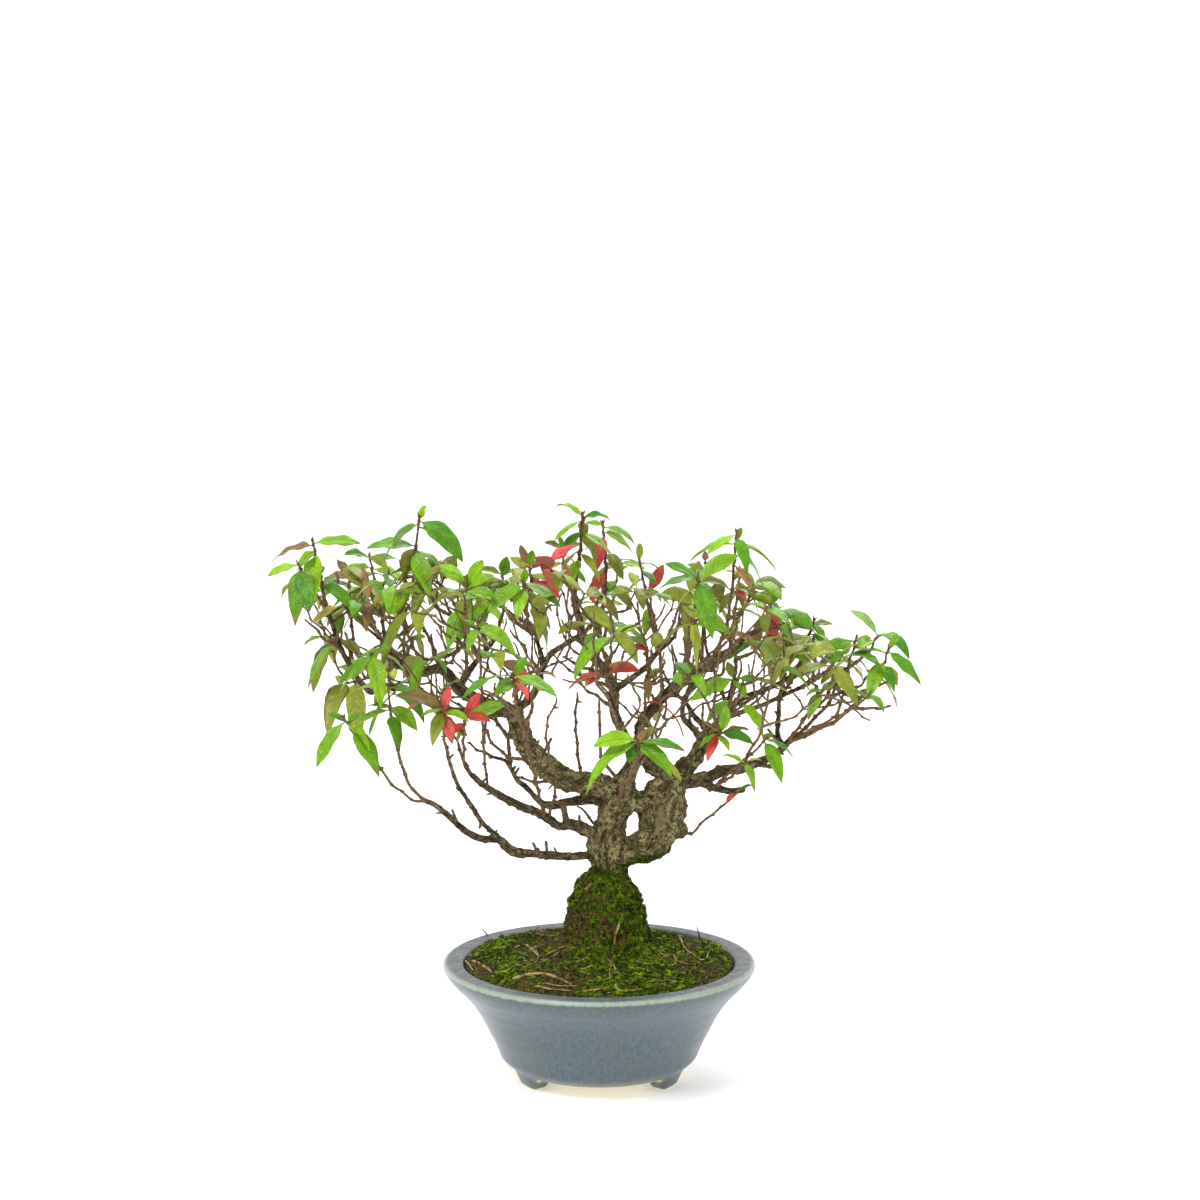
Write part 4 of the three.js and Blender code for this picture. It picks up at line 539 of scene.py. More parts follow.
def frames_on(normals, turn):
    """Frames with the normal as third vector, turned round it by the given angles."""
    lean = np.where(np.abs(normals[:, 2:]) > 0.9, [[1.0, 0, 0]], [[0, 0, 1.0]])
    first = norm(np.cross(lean, normals))
    second = np.cross(normals, first)
    c, s = np.cos(turn)[:, None], np.sin(turn)[:, None]
    return np.stack([c * first + s * second, c * second - s * first, normals], -1)


def in_millimetres(box):
    """A box of the frame as its low and high corner in this script's own measure."""
    return [(np.array(corner) - AXIS) / MM for corner in box]


def colour(red, green, blue):
    """A colour read off a screen, 0 to 255, as the linear values the shaders use."""
    share = np.array([red, green, blue]) / 255
    return np.where(share <= 0.04045, share / 12.92, ((share + 0.055) / 1.055) ** 2.4)


def add_piece(name, shape, materials, slot, replaced=(), uv=None, picks=None, **layers):
    """A mesh object at the origin of the frame. layers are named values or colours for each
    point, uv is a place on a leaf for each point, and picks is each face's material."""
    points, faces = shape
    rows = [row for array in faces for row in array.tolist()]
    mesh = bpy.data.meshes.new(name)
    mesh.from_pydata((points * MM + AXIS).tolist(), [], rows)
    mesh.polygons.foreach_set("use_smooth", np.ones(len(rows), bool))
    for label, values in layers.items():
        values = np.asarray(values, float)
        if values.ndim == 1:
            mesh.attributes.new(label, "FLOAT", "POINT").data.foreach_set("value", values)
        else:
            full = np.column_stack([values, np.ones(len(values))])
            layer = mesh.attributes.new(label, "FLOAT_COLOR", "POINT")
            layer.data.foreach_set("color", full.ravel())
    if uv is not None:
        corner = np.empty(len(mesh.loops), np.int32)
        mesh.loops.foreach_get("vertex_index", corner)
        mesh.uv_layers.new(name="leaf").data.foreach_set("uv", uv[corner].ravel())
    for material in materials:
        mesh.materials.append(material)
    if picks is not None:
        mesh.polygons.foreach_set("material_index", np.asarray(picks, np.int32))
    piece = bpy.data.objects.new(name, mesh)
    bpy.context.scene.collection.objects.link(piece)
    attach(piece, "root")
    if replaced:
        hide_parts(*replaced)


# Wood: thick limbs under one skin of bark, thin twigs as stems of their own

BURR_SIDES = 9
BURR_RINGS = 6
BURR_SIZE = (0.36, 0.76)
LIMB_SIDES = 14
LIMB_APART = 97
GRAIN_DRAWN = 0.42
BONES_AT_ONCE = 4000
TWIG_SIDES = 7
TWIG_FINE = 0.78
TWIG_STEP = 0.7
SPUR_FLOOR = 122
SPUR_STOUTEST = 7
SPURLESS = ("", "right_brace", "right_web")
TRUNK_GAPS = [
    # picture u and v of the openings between trunk and arm, and how far round them, and by
    # how much, the bark is drawn back
    [18.5, 138.2, 5.5, 1.1], [17, 134.8, 4.5, 0.6], [33, 159, 8, 1.6],
]
GAP_ROOM = 4
FULL_TURN = 6.28


def limb_paths():
    paths = {"": None}
    for name, parent, *sizes, text in LIMBS:
        paths[name] = lay_path(paths[parent], *sizes, text)
    return paths


def burr(centre, size, rings=BURR_RINGS, sides=BURR_SIDES):
    """A round knob: circles of the radius of a sphere at even angles from pole to pole."""
    polar = np.linspace(0.15, math.pi - 0.15, rings)[:, None, None]
    around = (2 * np.pi * np.arange(sides) / sides)[:, None]
    ring = np.concatenate([np.cos(around), np.sin(around), np.zeros_like(around)], 1)
    points = np.sin(polar) * ring + np.cos(polar) * np.array([0, 0, -1.0])
    return centre + points.reshape(-1, 3) * size, ring_faces(rings, sides)


def limb_bones(paths):
    """Rings of points down the middle of every limb, with radius, frame and run, one row each:
    the wood's skin is shaped by the ring that it lies nearest. The runs of two limbs lie apart,
    so that no two share their noise. Knobs stand out at seeded places, but none in an opening
    of the trunk."""
    bones = []
    shapes = []
    for number, path in enumerate(path for path in paths.values() if path):
        centres, radii = rounded(path)
        _, side, across = carried_frames(centres)
        run = arc_of(centres) + LIMB_APART * number
        bones.append(np.column_stack([centres, radii, side, across, run]))
        shapes.append(tube(centres, radii, LIMB_SIDES))
        knobs = np.arange(3, len(centres) - 2, max(4, int(radii.mean() * 1.1)))
        for ring in knobs:
            outward = sideways(side[ring], across[ring], any_angle())
            size = radii[ring] * rng.uniform(*BURR_SIZE)
            middle = centres[ring] + outward * (radii[ring] - 0.4 * size)
            u, v = picture_point(middle)
            if all(math.hypot(u - gap[0], v - gap[1]) > size + GAP_ROOM for gap in TRUNK_GAPS):
                shapes.append(burr(middle, size))
    return np.concatenate(bones), shapes


def one_skin(shape, cell):
    """One closed skin round overlapping closed shapes, in even square cells, made soft."""
    mesh = bpy.data.meshes.new("core")
    mesh.from_pydata(shape[0].tolist(), [], [row for array in shape[1] for row in array.tolist()])
    core = bpy.data.objects.new("core", mesh)
    bpy.context.scene.collection.objects.link(core)
    skin = core.modifiers.new("skin", "REMESH")
    skin.mode = "VOXEL"
    skin.voxel_size = cell
    soft = core.modifiers.new("soft", "SMOOTH")
    soft.factor = 0.5
    soft.iterations = 5
    made = core.evaluated_get(bpy.context.evaluated_depsgraph_get()).to_mesh()
    points = np.empty(len(made.vertices) * 3)
    made.vertices.foreach_get("co", points)
    normals = np.empty(len(made.vertices) * 3)
    made.vertices.foreach_get("normal", normals)
    corners = np.empty(len(made.loops), np.int32)
    made.loops.foreach_get("vertex_index", corners)
    bpy.data.objects.remove(core)
    bpy.data.meshes.remove(mesh)
    return points.reshape(-1, 3), normals.reshape(-1, 3), corners.reshape(-1, 4)


def nearest_bones(points, bones):
    """The row of the bone ring whose limb surface each point is nearest to."""
    found = np.empty(len(points), int)
    for start in range(0, len(points), BONES_AT_ONCE):
        own = slice(start, start + BONES_AT_ONCE)
        part = points[own]
        square = (part ** 2).sum(1)[:, None] - 2 * part @ bones[:, :3].T + (bones[:, :3] ** 2).sum(1)
        found[own] = (np.sqrt(np.maximum(square, 0)) - bones[:, 3]).argmin(1)
    return found


def bark_flow(points, bones):
    """Each point in its limb's own measure, drawn short along the limb, so that noise read
    there runs in ridges with the grain; and the limb's radius there."""
    rows = bones[nearest_bones(points, bones)]
    offset = points - rows[:, :3]
    across = (offset * rows[:, 7:10]).sum(1)
    side = (offset * rows[:, 4:7]).sum(1)
    return np.stack([side, across, rows[:, 10] * GRAIN_DRAWN], -1), rows[:, 3]


def drawn_back(points):
    """Points near an opening of the trunk moved away from its axis: each as far as a bell of
    its distance from the axis says."""
    u, v = picture_point(points)
    moved = points
    for gap_u, gap_v, reach, more in TRUNK_GAPS:
        away = np.stack([u - gap_u, 0 * u, v - gap_v], -1)
        far = np.linalg.norm(away, axis=1, keepdims=True)
        moved = moved + away / np.maximum(far, 1) * more * np.exp(-(far / reach) ** 2)
    return moved


def wood_skin(paths):
    """The limbs' skin moved out along its normals by knobs, ridges with the grain and fine
    bark, each in step with the limb's radius; where moss grows on it; and where it is sunk, for
    the bark's painted shade."""
    bones, shapes = limb_bones(paths)
    core, faces = joined(shapes)
    points, normals, quads = one_skin((drawn_back(core), faces), WOOD_CELL)
    flow, girth = bark_flow(points, bones)
    stout = smoothstep(1, 8, girth)
    ridges = 1 - 2 * np.abs(layered_noise(flow, 3.4, 2, 11))
    knobs = layered_noise(points, 5.2, 2, 31)
    warts = smoothstep(0.05, 0.6, layered_noise(points, 2.4, 2, 53))
    fine = layered_noise(flow, 1.3, 2, 47)
    moved = stout * (1.25 * ridges + 1.2 * knobs - 0.7)
    moved = moved + (0.36 + 0.64 * stout) * (0.8 * warts + 0.6 * fine - 0.25)
    moved = moved - 1.6 * np.exp(-((picture_point(points)[1] - 113) / 5) ** 2)
    points = drawn_back(points) + normals * moved[:, None]
    low = 1 - smoothstep(112, 122, points[:, 2])
    under = smoothstep(-0.25, 0.7, -normals[:, 2]) * smoothstep(140, 121, points[:, 2]) * stout
    patches = layered_noise(points, 4.5, 3, 71)
    moss = smoothstep(0.3, 0.75, low * 0.75 + 0.7 * under + 0.55 * patches)
    # the sunk places between ridges, knobs and fine bark, which the bark darkens as painted shade
    pits = smoothstep(-0.3, 0.35, -(0.75 * ridges + 0.6 * fine + 0.5 * knobs))
    return points, normals, quads, flow, girth, moss, pits


def knotty_stem(centres, radii, knots, kink):
    """A twig: between its knots it bends a little from side to side in a zigzag, and at each
    knot the radius swells under a narrow bell."""
    run = arc_of(centres)
    _, side, across = carried_frames(centres)
    swing = np.interp(run, knots, np.resize([1.0, -1.0], len(knots))) if len(knots) > 1 else 0 * run
    fade = smoothstep(0, 4, run) * smoothstep(0, 3, run[-1] - run)
    outward = sideways(side, across, any_angle())
    bent = centres + outward * (swing * kink * fade)[:, None]
    swell = np.exp(-((run[:, None] - knots) / 0.7) ** 2).sum(1) if len(knots) else 0 * run
    rough = 1 + 0.13 * layered_noise(bent, 1.6, 2, 5)
    return bent, radii * rough * (1 + 0.5 * np.minimum(swell, 1.1))


def knots_along(length, least, most):
    """Places along a twig, each a seeded step of least to most past the one before."""
    steps = rng.uniform(least, most, max(1, int(length / least)))
    knots = np.cumsum(steps)
    return knots[knots < length - 1.5]


def bud_stubs(centres, radii, knots):
    """Two opposite short cones at each knot, each pair a quarter turn from the one before,
    and here and there the dead stub of a twig."""
    along, side, across = carried_frames(centres)
    run = arc_of(centres)
    shapes = []
    for number, knot in enumerate(knots):
        ring = int(np.abs(run - knot).argmin())
        turn = number * math.pi / 2 + rng.uniform(-0.4, 0.4)
        for half in (0, math.pi):
            if rng.random() < 0.25:
                continue
            outward = sideways(side[ring], across[ring], turn + half)
            lean = norm(outward + along[ring] * rng.uniform(0.3, 1))
            dead = rng.random() < 0.08
            length = rng.uniform(1.8, 4) if dead else rng.uniform(0.15, 0.6)
            start = centres[ring] + outward * radii[ring] * 0.5
            spine = start + lean * (np.linspace(0, 1, 3) * (length + radii[ring] * 0.5))[:, None]
            thick = min(0.62, radii[ring] * 0.66)
            shapes.append(tube(spine, thick * np.array([1.2, 1.1, 0.7]), 5))
    return shapes


def spurs(paths, count):
    """Short dead spurs on the limbs: cones that stand out at seeded places and angles."""
    rows = []
    for name, path in paths.items():
        if name not in SPURLESS:
            centres, radii = rounded(path)
            rows.append(np.column_stack([centres, radii, norm(np.gradient(centres, axis=0))]))
    rows = np.concatenate(rows)
    rows = rows[(rows[:, 2] > SPUR_FLOOR) & (rows[:, 3] < SPUR_STOUTEST)]
    shapes = []
    for row in rows[rng.choice(len(rows), count, replace=False)]:
        outward = norm(np.cross(row[4:], rng.normal(0, 1, 3)))
        lean = norm(outward + row[4:] * rng.uniform(0, 0.8))
        length = rng.uniform(1.2, 4.2)
        spine = row[:3] + outward * row[3] * 0.6 + lean * np.linspace(0, length + row[3] * 0.4, 5)[:, None]
        thick = rng.uniform(0.55, 0.95) * np.array([1.5, 1.1, 0.85, 0.95, 0.6])
        shapes.append(tube(spine, thick, 6))
    return shapes


def twig_shapes(path, flare=0.9, end=1):
    """A bare twig from its limb to its end: knotty, and wider where it leaves the limb."""
    centres, radii = rounded(path, TWIG_STEP)
    run = arc_of(centres)
    knots = knots_along(run[-1], 5.5, 11)
    wide = 1 + flare * np.exp(-run / 1.6)
    taper = 1 - (1 - end) * smoothstep(run[-1] - 3, run[-1], run)
    bent, thick = knotty_stem(centres, radii * TWIG_FINE * wide * taper, knots, 0.6)
    return [tube(bent, thick, TWIG_SIDES), *bud_stubs(bent, thick, knots)]


# Leaves

LEAF_STATIONS = np.array([0, 0.06, 0.1, 0.15, 0.22, 0.3, 0.39, 0.48, 0.57, 0.66, 0.75, 0.83,
                          0.9, 0.95, 1])
LEAF_TOP = np.array([-1, -0.93, -0.68, -0.4, -0.14, 0, 0.14, 0.4, 0.68, 0.93, 1])
LEAF_UNDER = np.array([0.9, 0.45, 0.1, -0.1, -0.45, -0.9])
SMALL_STATIONS = np.array([0, 0.07, 0.13, 0.22, 0.35, 0.5, 0.65, 0.79, 0.91, 1])
SMALL_TOP = np.array([-1, -0.6, 0, 0.6, 1])
SMALL_UNDER = np.array([0.9, 0, -0.9])
PETIOLE_HALF = 0.36


def leaf_width(share):
    """0 at the root, 1 at the widest and 0 at the tip: a power of the share from the root
    times a power of the share from the tip."""
    q = np.clip((share - 0.08) / 0.92, 0, 1)
    return 2.86 * q ** 0.65 * (1 - q) ** 0.92


def part_draw(seed):
    """The solids' own seeded draw, so that every leaf keeps its arch, roll and width."""
    state = seed
    while True:
        state = (state * 16807) % 2147483647
        yield state / 2147483647


def leaf_points(leaves, stations, top, under):
    """Every leaf at once, as rings of points from root to tip. The middle line is a curve
    bent from root to tip by its crest and sagging with the cube of the share. Across it the
    blade folds up along the midrib, rolls down to its edges, waves along them, and keeps a
    groove above and a rib below."""
    s = stations[None, :, None]
    root, crest, tip, face = (leaves[key][:, None] for key in ("root", "crest", "tip", "face"))
    middle = root * (1 - s) ** 2 + crest * 2 * s * (1 - s) + tip * s ** 2
    sag = leaves["sag"][:, None, None] * np.linalg.norm(tip - root, axis=-1, keepdims=True)
    down = np.array([0, 0, -1.0])
    middle = middle + down * sag * s ** 3
    along = norm((crest - root) * (1 - s) + (tip - crest) * s + down * sag * 1.5 * s ** 2)
    normal = norm(face - along * (face * along).sum(-1, keepdims=True))
    roll = leaves["roll"][:, None, None] + leaves["twist"][:, None, None] * (s - 0.4)
    across = np.cross(along, normal)
    normal, across = (normal * np.cos(roll) + np.cross(along, normal) * np.sin(roll),
                      across * np.cos(roll) + np.cross(along, across) * np.sin(roll))
    t = np.concatenate([top, under])
    above = np.concatenate([np.ones(len(top)), -np.ones(len(under))])
    stalk = 1 - smoothstep(0.07, 0.15, stations)
    blade = leaf_width(stations) * leaves["half_width"][:, None]
    width = np.maximum(blade, PETIOLE_HALF * (0.3 + 0.7 * stalk))[..., None]
    wave = leaves["wave"][:, None] * np.sin(
        2 * np.pi * (2.3 * stations + leaves["phase"][:, None]))
    side_wave = wave[..., None] * np.sign(t) * t ** 2
    fold = leaves["fold"][:, None, None] * np.abs(t) - leaves["curl"][:, None, None] * t ** 2
    rib = np.exp(-(t / 0.16) ** 2)
    edge = np.sqrt(np.maximum(1 - t ** 2, 0.02))
    thick = (0.13 + 0.24 * stalk)[:, None] * edge * above
    relief = np.where(above > 0, -0.1, -0.24) * rib * (1 - stalk[:, None])
    height = width * (fold + side_wave) * (1 - stalk[:, None]) + thick + relief
    points = (middle[:, :, None] + across[:, :, None] * (width * t)[..., None]
              + normal[:, :, None] * height[..., None])
    return points, t, above


LEAF_COLOURS = {
    # kind: two top colours that leaves lie between, and the underside
    "g": (colour(146, 196, 24), colour(66, 138, 2), colour(160, 172, 50)),
    "o": (colour(160, 170, 56), colour(120, 136, 32), colour(168, 168, 74)),
    "t": (colour(172, 124, 78), colour(132, 108, 56), colour(170, 132, 88)),
    "r": (colour(226, 84, 82), colour(200, 56, 58), colour(218, 108, 94)),
    "y": (colour(196, 184, 70), colour(164, 160, 56), colour(190, 178, 92)),
}


def leaf_tints(leaves, stations, t, above):
    """Each leaf's colour, point by point: its own mix of its kind's two tops, a paler root
    half, and now and then a browned tip or edge."""
    kinds = np.array([LEAF_COLOURS[kind] for kind in leaves["kind"]])
    tops, deep, below = kinds[:, 0], kinds[:, 1], kinds[:, 2]
    mix = leaves["age"][:, None]
    upper = (tops * (1 - mix) + deep * mix)[:, None, None]
    under = (below * (0.85 + 0.3 * leaves["shade"])[:, None])[:, None, None]
    tint = np.where((above > 0)[None, None, :, None], upper, under)
    tint = np.broadcast_to(tint, (len(mix), len(stations), len(t), 3)).copy()
    pale = (1 - smoothstep(0.05, 0.5, stations))[None, :, None, None]
    tint *= 1 + 0.12 * pale + 0.36 * (leaves["shade"][:, None, None, None] - 0.5)
    brown = leaves["brown"][:, None, None] * (
        smoothstep(0.8, 1, stations)[None, :, None] + 0.7 * smoothstep(0.8, 1, np.abs(t)))
    brown = np.clip(brown, 0, 1)[..., None]
    return tint * (1 - brown) + colour(150, 104, 62) * brown


def leaf_blades(leaves, stations, top, under):
    """Every leaf's points and tints; then, the same for each leaf, its points' places on the
    leaf, which of them are on top, and its faces."""
    points, t, above = leaf_points(leaves, stations, top, under)
    tints = leaf_tints(leaves, stations, t, above)
    uv = np.stack(np.broadcast_arrays(0.5 + 0.5 * t, stations[:, None]), -1).reshape(-1, 2)
    upper = np.broadcast_to((above > 0) * 1.0, (len(stations), len(t))).ravel()
    return points, tints, uv, upper, ring_faces(len(stations), len(t))


LEAF_KEYS = ("root", "crest", "tip", "face", "roll", "half_width", "kind")
LEAF_HABITS = {
    # between which values each leaf's own is drawn
    "sag": (0, 0.16), "twist": (-0.8, 0.8), "fold": (0.16, 0.5), "curl": (0.1, 0.42),
    "wave": (0.03, 0.16), "phase": (0, 1), "age": (0, 1), "shade": (0, 1),
}
BROWNED_SHARE = 0.22
BROWNING = (0.4, 1)


def with_habits(rows):
    """Leaves as one array of each key, with each leaf's own twist, fold, curl, waved edge, age,
    shade and browning, seeded."""
    leaves = {key: np.array(column) for key, column in zip(LEAF_KEYS, zip(*rows))}
    count = len(rows)
    for key, (least, most) in LEAF_HABITS.items():
        leaves[key] = rng.uniform(least, most, count)
    leaves["brown"] = np.where(rng.random(count) < BROWNED_SHARE, rng.uniform(*BROWNING, count), 0)
    return leaves


def leaves_of(text):
    """A shoot's leaves as its table gives them: the kind, then down, u, y and v."""
    rows = [row.split() for row in text.split(",")]
    return [(kind, *map(int, numbers)) for kind, *numbers in rows]


def leaf_table(paths):
    """Every shoot's path and its leaves, drawn in the solids' order: crest, roll and width by
    the solids' draw, and fold, curl, wave and colour by this script's own."""
    draw = part_draw(SEED)
    shoots = []
    rows = []
    for name, parent, radius, end_depth, way, text in SHOOTS:
        path = lay_path(paths[parent], radius, SHOOT_TIP_RADIUS, end_depth, way)
        length = arc_of(path["point"])[-1]
        centres, radii = rounded(path, TWIG_STEP)
        run = arc_of(centres) / arc_of(centres)[-1]
        leaves = leaves_of(text)
        below = [leaf[1] + LEAF_STAGGER * (i + 1) for i, leaf in enumerate(leaves)]
        leafy = min(LEAFY_SHARE * length, max(below) + SHOOT_BELOW_LEAVES)
        for (kind, _, du, dy, dv), down in zip(leaves, below):
            u, v, y = picture_spot(path, length - down)
            tip = place(u + du, y + dy, v + dv)
            node = np.array([np.interp(1 - down / length, run, column) for column in centres.T])
            root = node + norm(tip - node) * LEAF_ROOT_OUT
            reach = tip - root
            size = np.linalg.norm(reach)
            outward = norm(np.array([reach[0], reach[1] - 0.15 * size, 0]))
            arch = size * (LEAF_ARCH[0] + LEAF_ARCH[1] * next(draw))
            lift = np.array([0, 0, LEAF_ARCH_UP * arch]) + outward * LEAF_ARCH_OUT * arch
            roll = (next(draw) - 0.5) * LEAF_ROLL
            spread = 1 + LEAF_WIDTH_SPREAD * (next(draw) - 0.5)
            face = np.array([0, -0.35, 1]) + outward * 0.6
            rows.append((root, root + reach * LEAF_CREST + lift, tip, face, roll,
                         LEAF_HALF_WIDTH * size * spread, kind))
        shoots.append((name, centres, radii, 1 - leafy / length, [1 - d / length for d in below]))
    return shoots, with_habits(rows)


def bud_shapes(end, along):
    """The erect bud at a shoot's end: a pair of small folded scales round a narrow cone."""
    frame_on = frames_on(along[None], rng.uniform(0, FULL_TURN, 1))[0]
    shapes = []
    for lean, length, wide in ((0, 2.6, 0.75), (0.4, 3.6, 0.62), (-0.42, 3.2, 0.62)):
        direction = norm(along + frame_on[:, 0] * lean)
        spine = end - along * 0.8 + direction * (np.linspace(0, 1, 6) * (length + 0.8))[:, None]
        thick = wide * np.array([0.8, 1, 1.05, 0.85, 0.5, 0.15])
        flat = np.abs(np.cos(2 * np.pi * np.arange(6) / 6))
        shapes.append(tube(spine, thick[:, None] * (0.5 + 0.5 * flat), 6))
    return shapes


# The finer growth between the laid shoots

CROWN_TOP = np.array(spots_of(
    # picture u and v along the crown's upper outline
    "-181 282, -150 292, -98 300, -65 286, -22 304, 30 280, 75 290, 97 278, 106 254, 120 248, 150 243, "
    "166 236, 176 220"
))
CROWN_UNDER = np.array(spots_of(
    # picture u and v along its lower outline
    "-162 252, -140 236, -113 208, -70 198, -50 200, -34 214, -4 212, 10 200, 34 188, 56 200, 88 208, "
    "126 214, 150 226, 176 238"
))
LAID_SPOTS = spots_of(
    # picture u and v and depth of the ends of fine twigs that hold the larger leaf clusters
    "-129 230 -22, -137 214 8, -112 208 -34, -146 238 -6, -95 227 -40, -74 262 -62, -88 206 -48, "
    "131 230 -14, 100 226 -38, -30 252 -56, 8 242 -60, 52 246 -66, 118 241 20, -58 232 -58, 152 240 -8"
)
RED_SPOTS = np.array(spots_of(
    # picture u and v of the places where young leaves are red
    "-28 274, -4 276, 34 276, 92 248, 22 222, -78 206"
))
CROWN_DEPTH = 90
CROWN_HALF_WIDTH = 192
CROWN_FLOOR = 158
BARE_LIMBS = ("", "trunk", "right_arm", "right_brace", "right_web")
FINE_TWIGS = 290
FINE_SPOTS = 12
FINE_REACH = 44
FINE_TWIG_SIDES = 6
LEAF_ROOM = 15
TREE_MIDDLE = np.array([4, 0, 0])
SMALL_LEAF = (14, 25)
LAID_LEAF_MORE = 4
RED_REACH = 19
BOX_ROOM = 3


def crown_spots(count):
    """Seeded places in the crown: between its lower and upper outline in the picture, and
    as deep as half an ellipse, over which the crown is domed."""
    u = rng.uniform(-162, 160, count)
    aside = rng.uniform(-1, 1, count)
    top = np.interp(u, *CROWN_TOP.T) - LEAF_ROOM - 30 * aside ** 2
    under = np.minimum(np.interp(u, *CROWN_UNDER.T) + 8 * aside ** 2, top - 8)
    v = under + (top - under) * rng.uniform(0, 1, count)
    return place(u, CROWN_DEPTH * np.sqrt(1 - (u / CROWN_HALF_WIDTH) ** 2) * aside, v)


def fine_stem(start, radius, spot):
    """One fine twig: a curve that leaves its wood low and outward and turns up to its spot,
    bent from side to side at its knots."""
    length = np.linalg.norm(spot - start)
    outward = norm((start - TREE_MIDDLE) * [1, 1, 0])
    bow = norm(outward * 0.5 + rng.normal(0, 0.4, 3) - [0, 0, 0.45]) * length * 0.15
    s = np.linspace(0, 1, 7)[:, None]
    elbow = (start + spot) / 2 + bow
    points = start * (1 - s) ** 2 + elbow * 2 * s * (1 - s) + spot * s ** 2
    points[1:-1] += rng.normal(0, 0.022 * length, (5, 3))
    path = {"point": points, "radius": radius + (0.42 - radius) * 0.75 * s[:, 0]}
    centres, radii = rounded(path, 0.95, 1.3)
    run = arc_of(centres)
    knots = knots_along(run[-1], 4.5, 8.5)
    wide = 1 + 0.7 * np.exp(-run / 1.4)
    return knotty_stem(centres, radii * wide, knots, rng.uniform(0.25, 0.6))


def fine_twigs(paths, shoots):
    """Fine twigs, grown one by one. Of a dozen seeded spots the one farthest from all wood is
    taken, and a twig is led there from the wood that lies nearest below and inside it."""
    wood = [np.column_stack(rounded(path)) for name, path in paths.items() if name not in BARE_LIMBS]
    wood += [np.column_stack([centres, radii])[:int(len(centres) * bare)]
             for _, centres, radii, bare, _ in shoots]
    wood = np.concatenate(wood)
    wood = wood[wood[:, 2] > CROWN_FLOOR]
    twigs = []
    for number in range(FINE_TWIGS):
        spots = crown_spots(FINE_SPOTS)
        if number < len(LAID_SPOTS):
            u, v, depth = LAID_SPOTS[number]
            spots = place(u, depth, v)[None]
        apart = np.linalg.norm(spots[:, None] - wood[:, :3], axis=2).min(1)
        spot = spots[np.where(apart < FINE_REACH, apart, 0).argmax()]
        reach = spot - wood[:, :3]
        far = np.linalg.norm(reach, axis=1)
        growing = norm(norm((spot - TREE_MIDDLE) * [1, 1, 0]) * 0.45 + [0, 0, 1])
        start = wood[(far * (1.6 - reach @ growing / far)).argmin()]
        stout = 0.6 + 0.015 * np.linalg.norm(spot - start[:3])
        bent, thick = fine_stem(start[:3], min(stout, max(0.56, 0.85 * start[3])), spot)
        twigs.append((bent, thick))
        wood = np.vstack([wood, np.column_stack([bent, thick])[2:]])
    return twigs


def small_leaves(twigs):
    """Opposite pairs of leaves at the ends of fine twigs, most of them near the crown's upper
    outline: each leaf reaches out square to its twig, arches and hangs."""
    rows = []
    low, high = in_millimetres(cad_box)
    for number, (bent, _) in enumerate(twigs):
        u, v = picture_point(bent[-1])
        hidden = np.interp(u, *CROWN_TOP.T) - v
        laid = number < len(LAID_SPOTS)
        if not laid and rng.random() > max(0.04, 0.96 - 0.0165 * hidden):
            continue
        along, side, across = carried_frames(bent)
        turn = any_angle()
        kind = "g" if laid else rng.choice(list("goty"), p=[0.52, 0.33, 0.11, 0.04])
        if np.hypot(*(RED_SPOTS - [u, v]).T).min() < RED_REACH and rng.random() < 0.6:
            kind = "r"
        for pair in range(2 if laid else rng.integers(1, 4)):
            ring = max(1, len(bent) - 1 - 4 * pair)
            for half in (0, math.pi):
                size = rng.uniform(*SMALL_LEAF) + LAID_LEAF_MORE * laid
                flat = sideways(side[ring], across[ring], turn + half + pair * math.pi / 2)
                reach = norm(flat + along[ring] * rng.uniform(0, 0.5)) * size
                root = bent[ring] + LEAF_ROOT_OUT * norm(reach)
                tip = root + reach - [0, 0, rng.uniform(0, 0.55) * size]
                u, v = picture_point(tip)
                inside = (low + BOX_ROOM < tip).all() and (tip < high - BOX_ROOM).all()
                low_leaf = v < np.interp(u, *CROWN_UNDER.T) + 4 and not laid
                if not inside or low_leaf or rng.random() < 0.12:
                    continue
                outward = norm(reach * [1, 1, 0])
                lift = size * rng.uniform(0.16, 0.34)
                crest = root + (tip - root) * LEAF_CREST + outward * lift * 0.6 + np.array([0, 0, lift])
                rows.append((root, crest, tip, np.array([0, -0.2, 1]) + outward * 0.6,
                             rng.uniform(-0.6, 0.6), LEAF_HALF_WIDTH * size * rng.uniform(0.9, 1.2),
                             kind if rng.random() < 0.7 else "o"))
    return with_habits(rows)


# Soil, its moss and what lies on it

SOIL_SECTORS = 300
SOIL_STEP = 0.66
MOSS_PATCHES = spots_of(
    # picture u and v, reach, and how much more moss (or less) grows there
    "30 78 13 0.55, 1 57 10 0.25, 24 51 13 0.75, -62 78 11 0.55, -50 70 9 0.25, 66 69 8 0.5, "
    "-12 66 11 0.1, -26 74 11 -0.4, 48 76 8 -0.5, 62 61 10 -0.4, -68 60 9 -0.5, -22 49 12 -0.55, "
    "3 108 8 0.5, -8 88 12 -0.04, 18 92 8 0.15, 8 80 7 -0.25, 0 97 8 -0.2, -45 57 9 0.25, -38 63 7 -0.2, "
    "44 58 9 0.1, 70 74 7 -0.3"
)
SOIL_RISES = spots_of(
    # picture u and v, reach and height of the moss banks by the rim
    "-60 77 9 2.4, 63 70 7 1.6, -68 66 7 1"
)
SOIL_ROUNDING = 1.2
SOIL_EDGE = 71.5
TRUNK_ROOM = 11


def soil_lumps(radius, angle):
    """Three waves round the axis, faded out at the middle and at the pot's rim."""
    rise = np.minimum(1, radius / LUMPS_RISE)
    fall = np.clip((LUMPS_EDGE - radius) / LUMPS_FALL, 0, 1)
    waves = sum(height * np.sin(count * angle + turn * radius + start)
                for height, count, turn, start in LUMPS)
    return rise * fall * waves


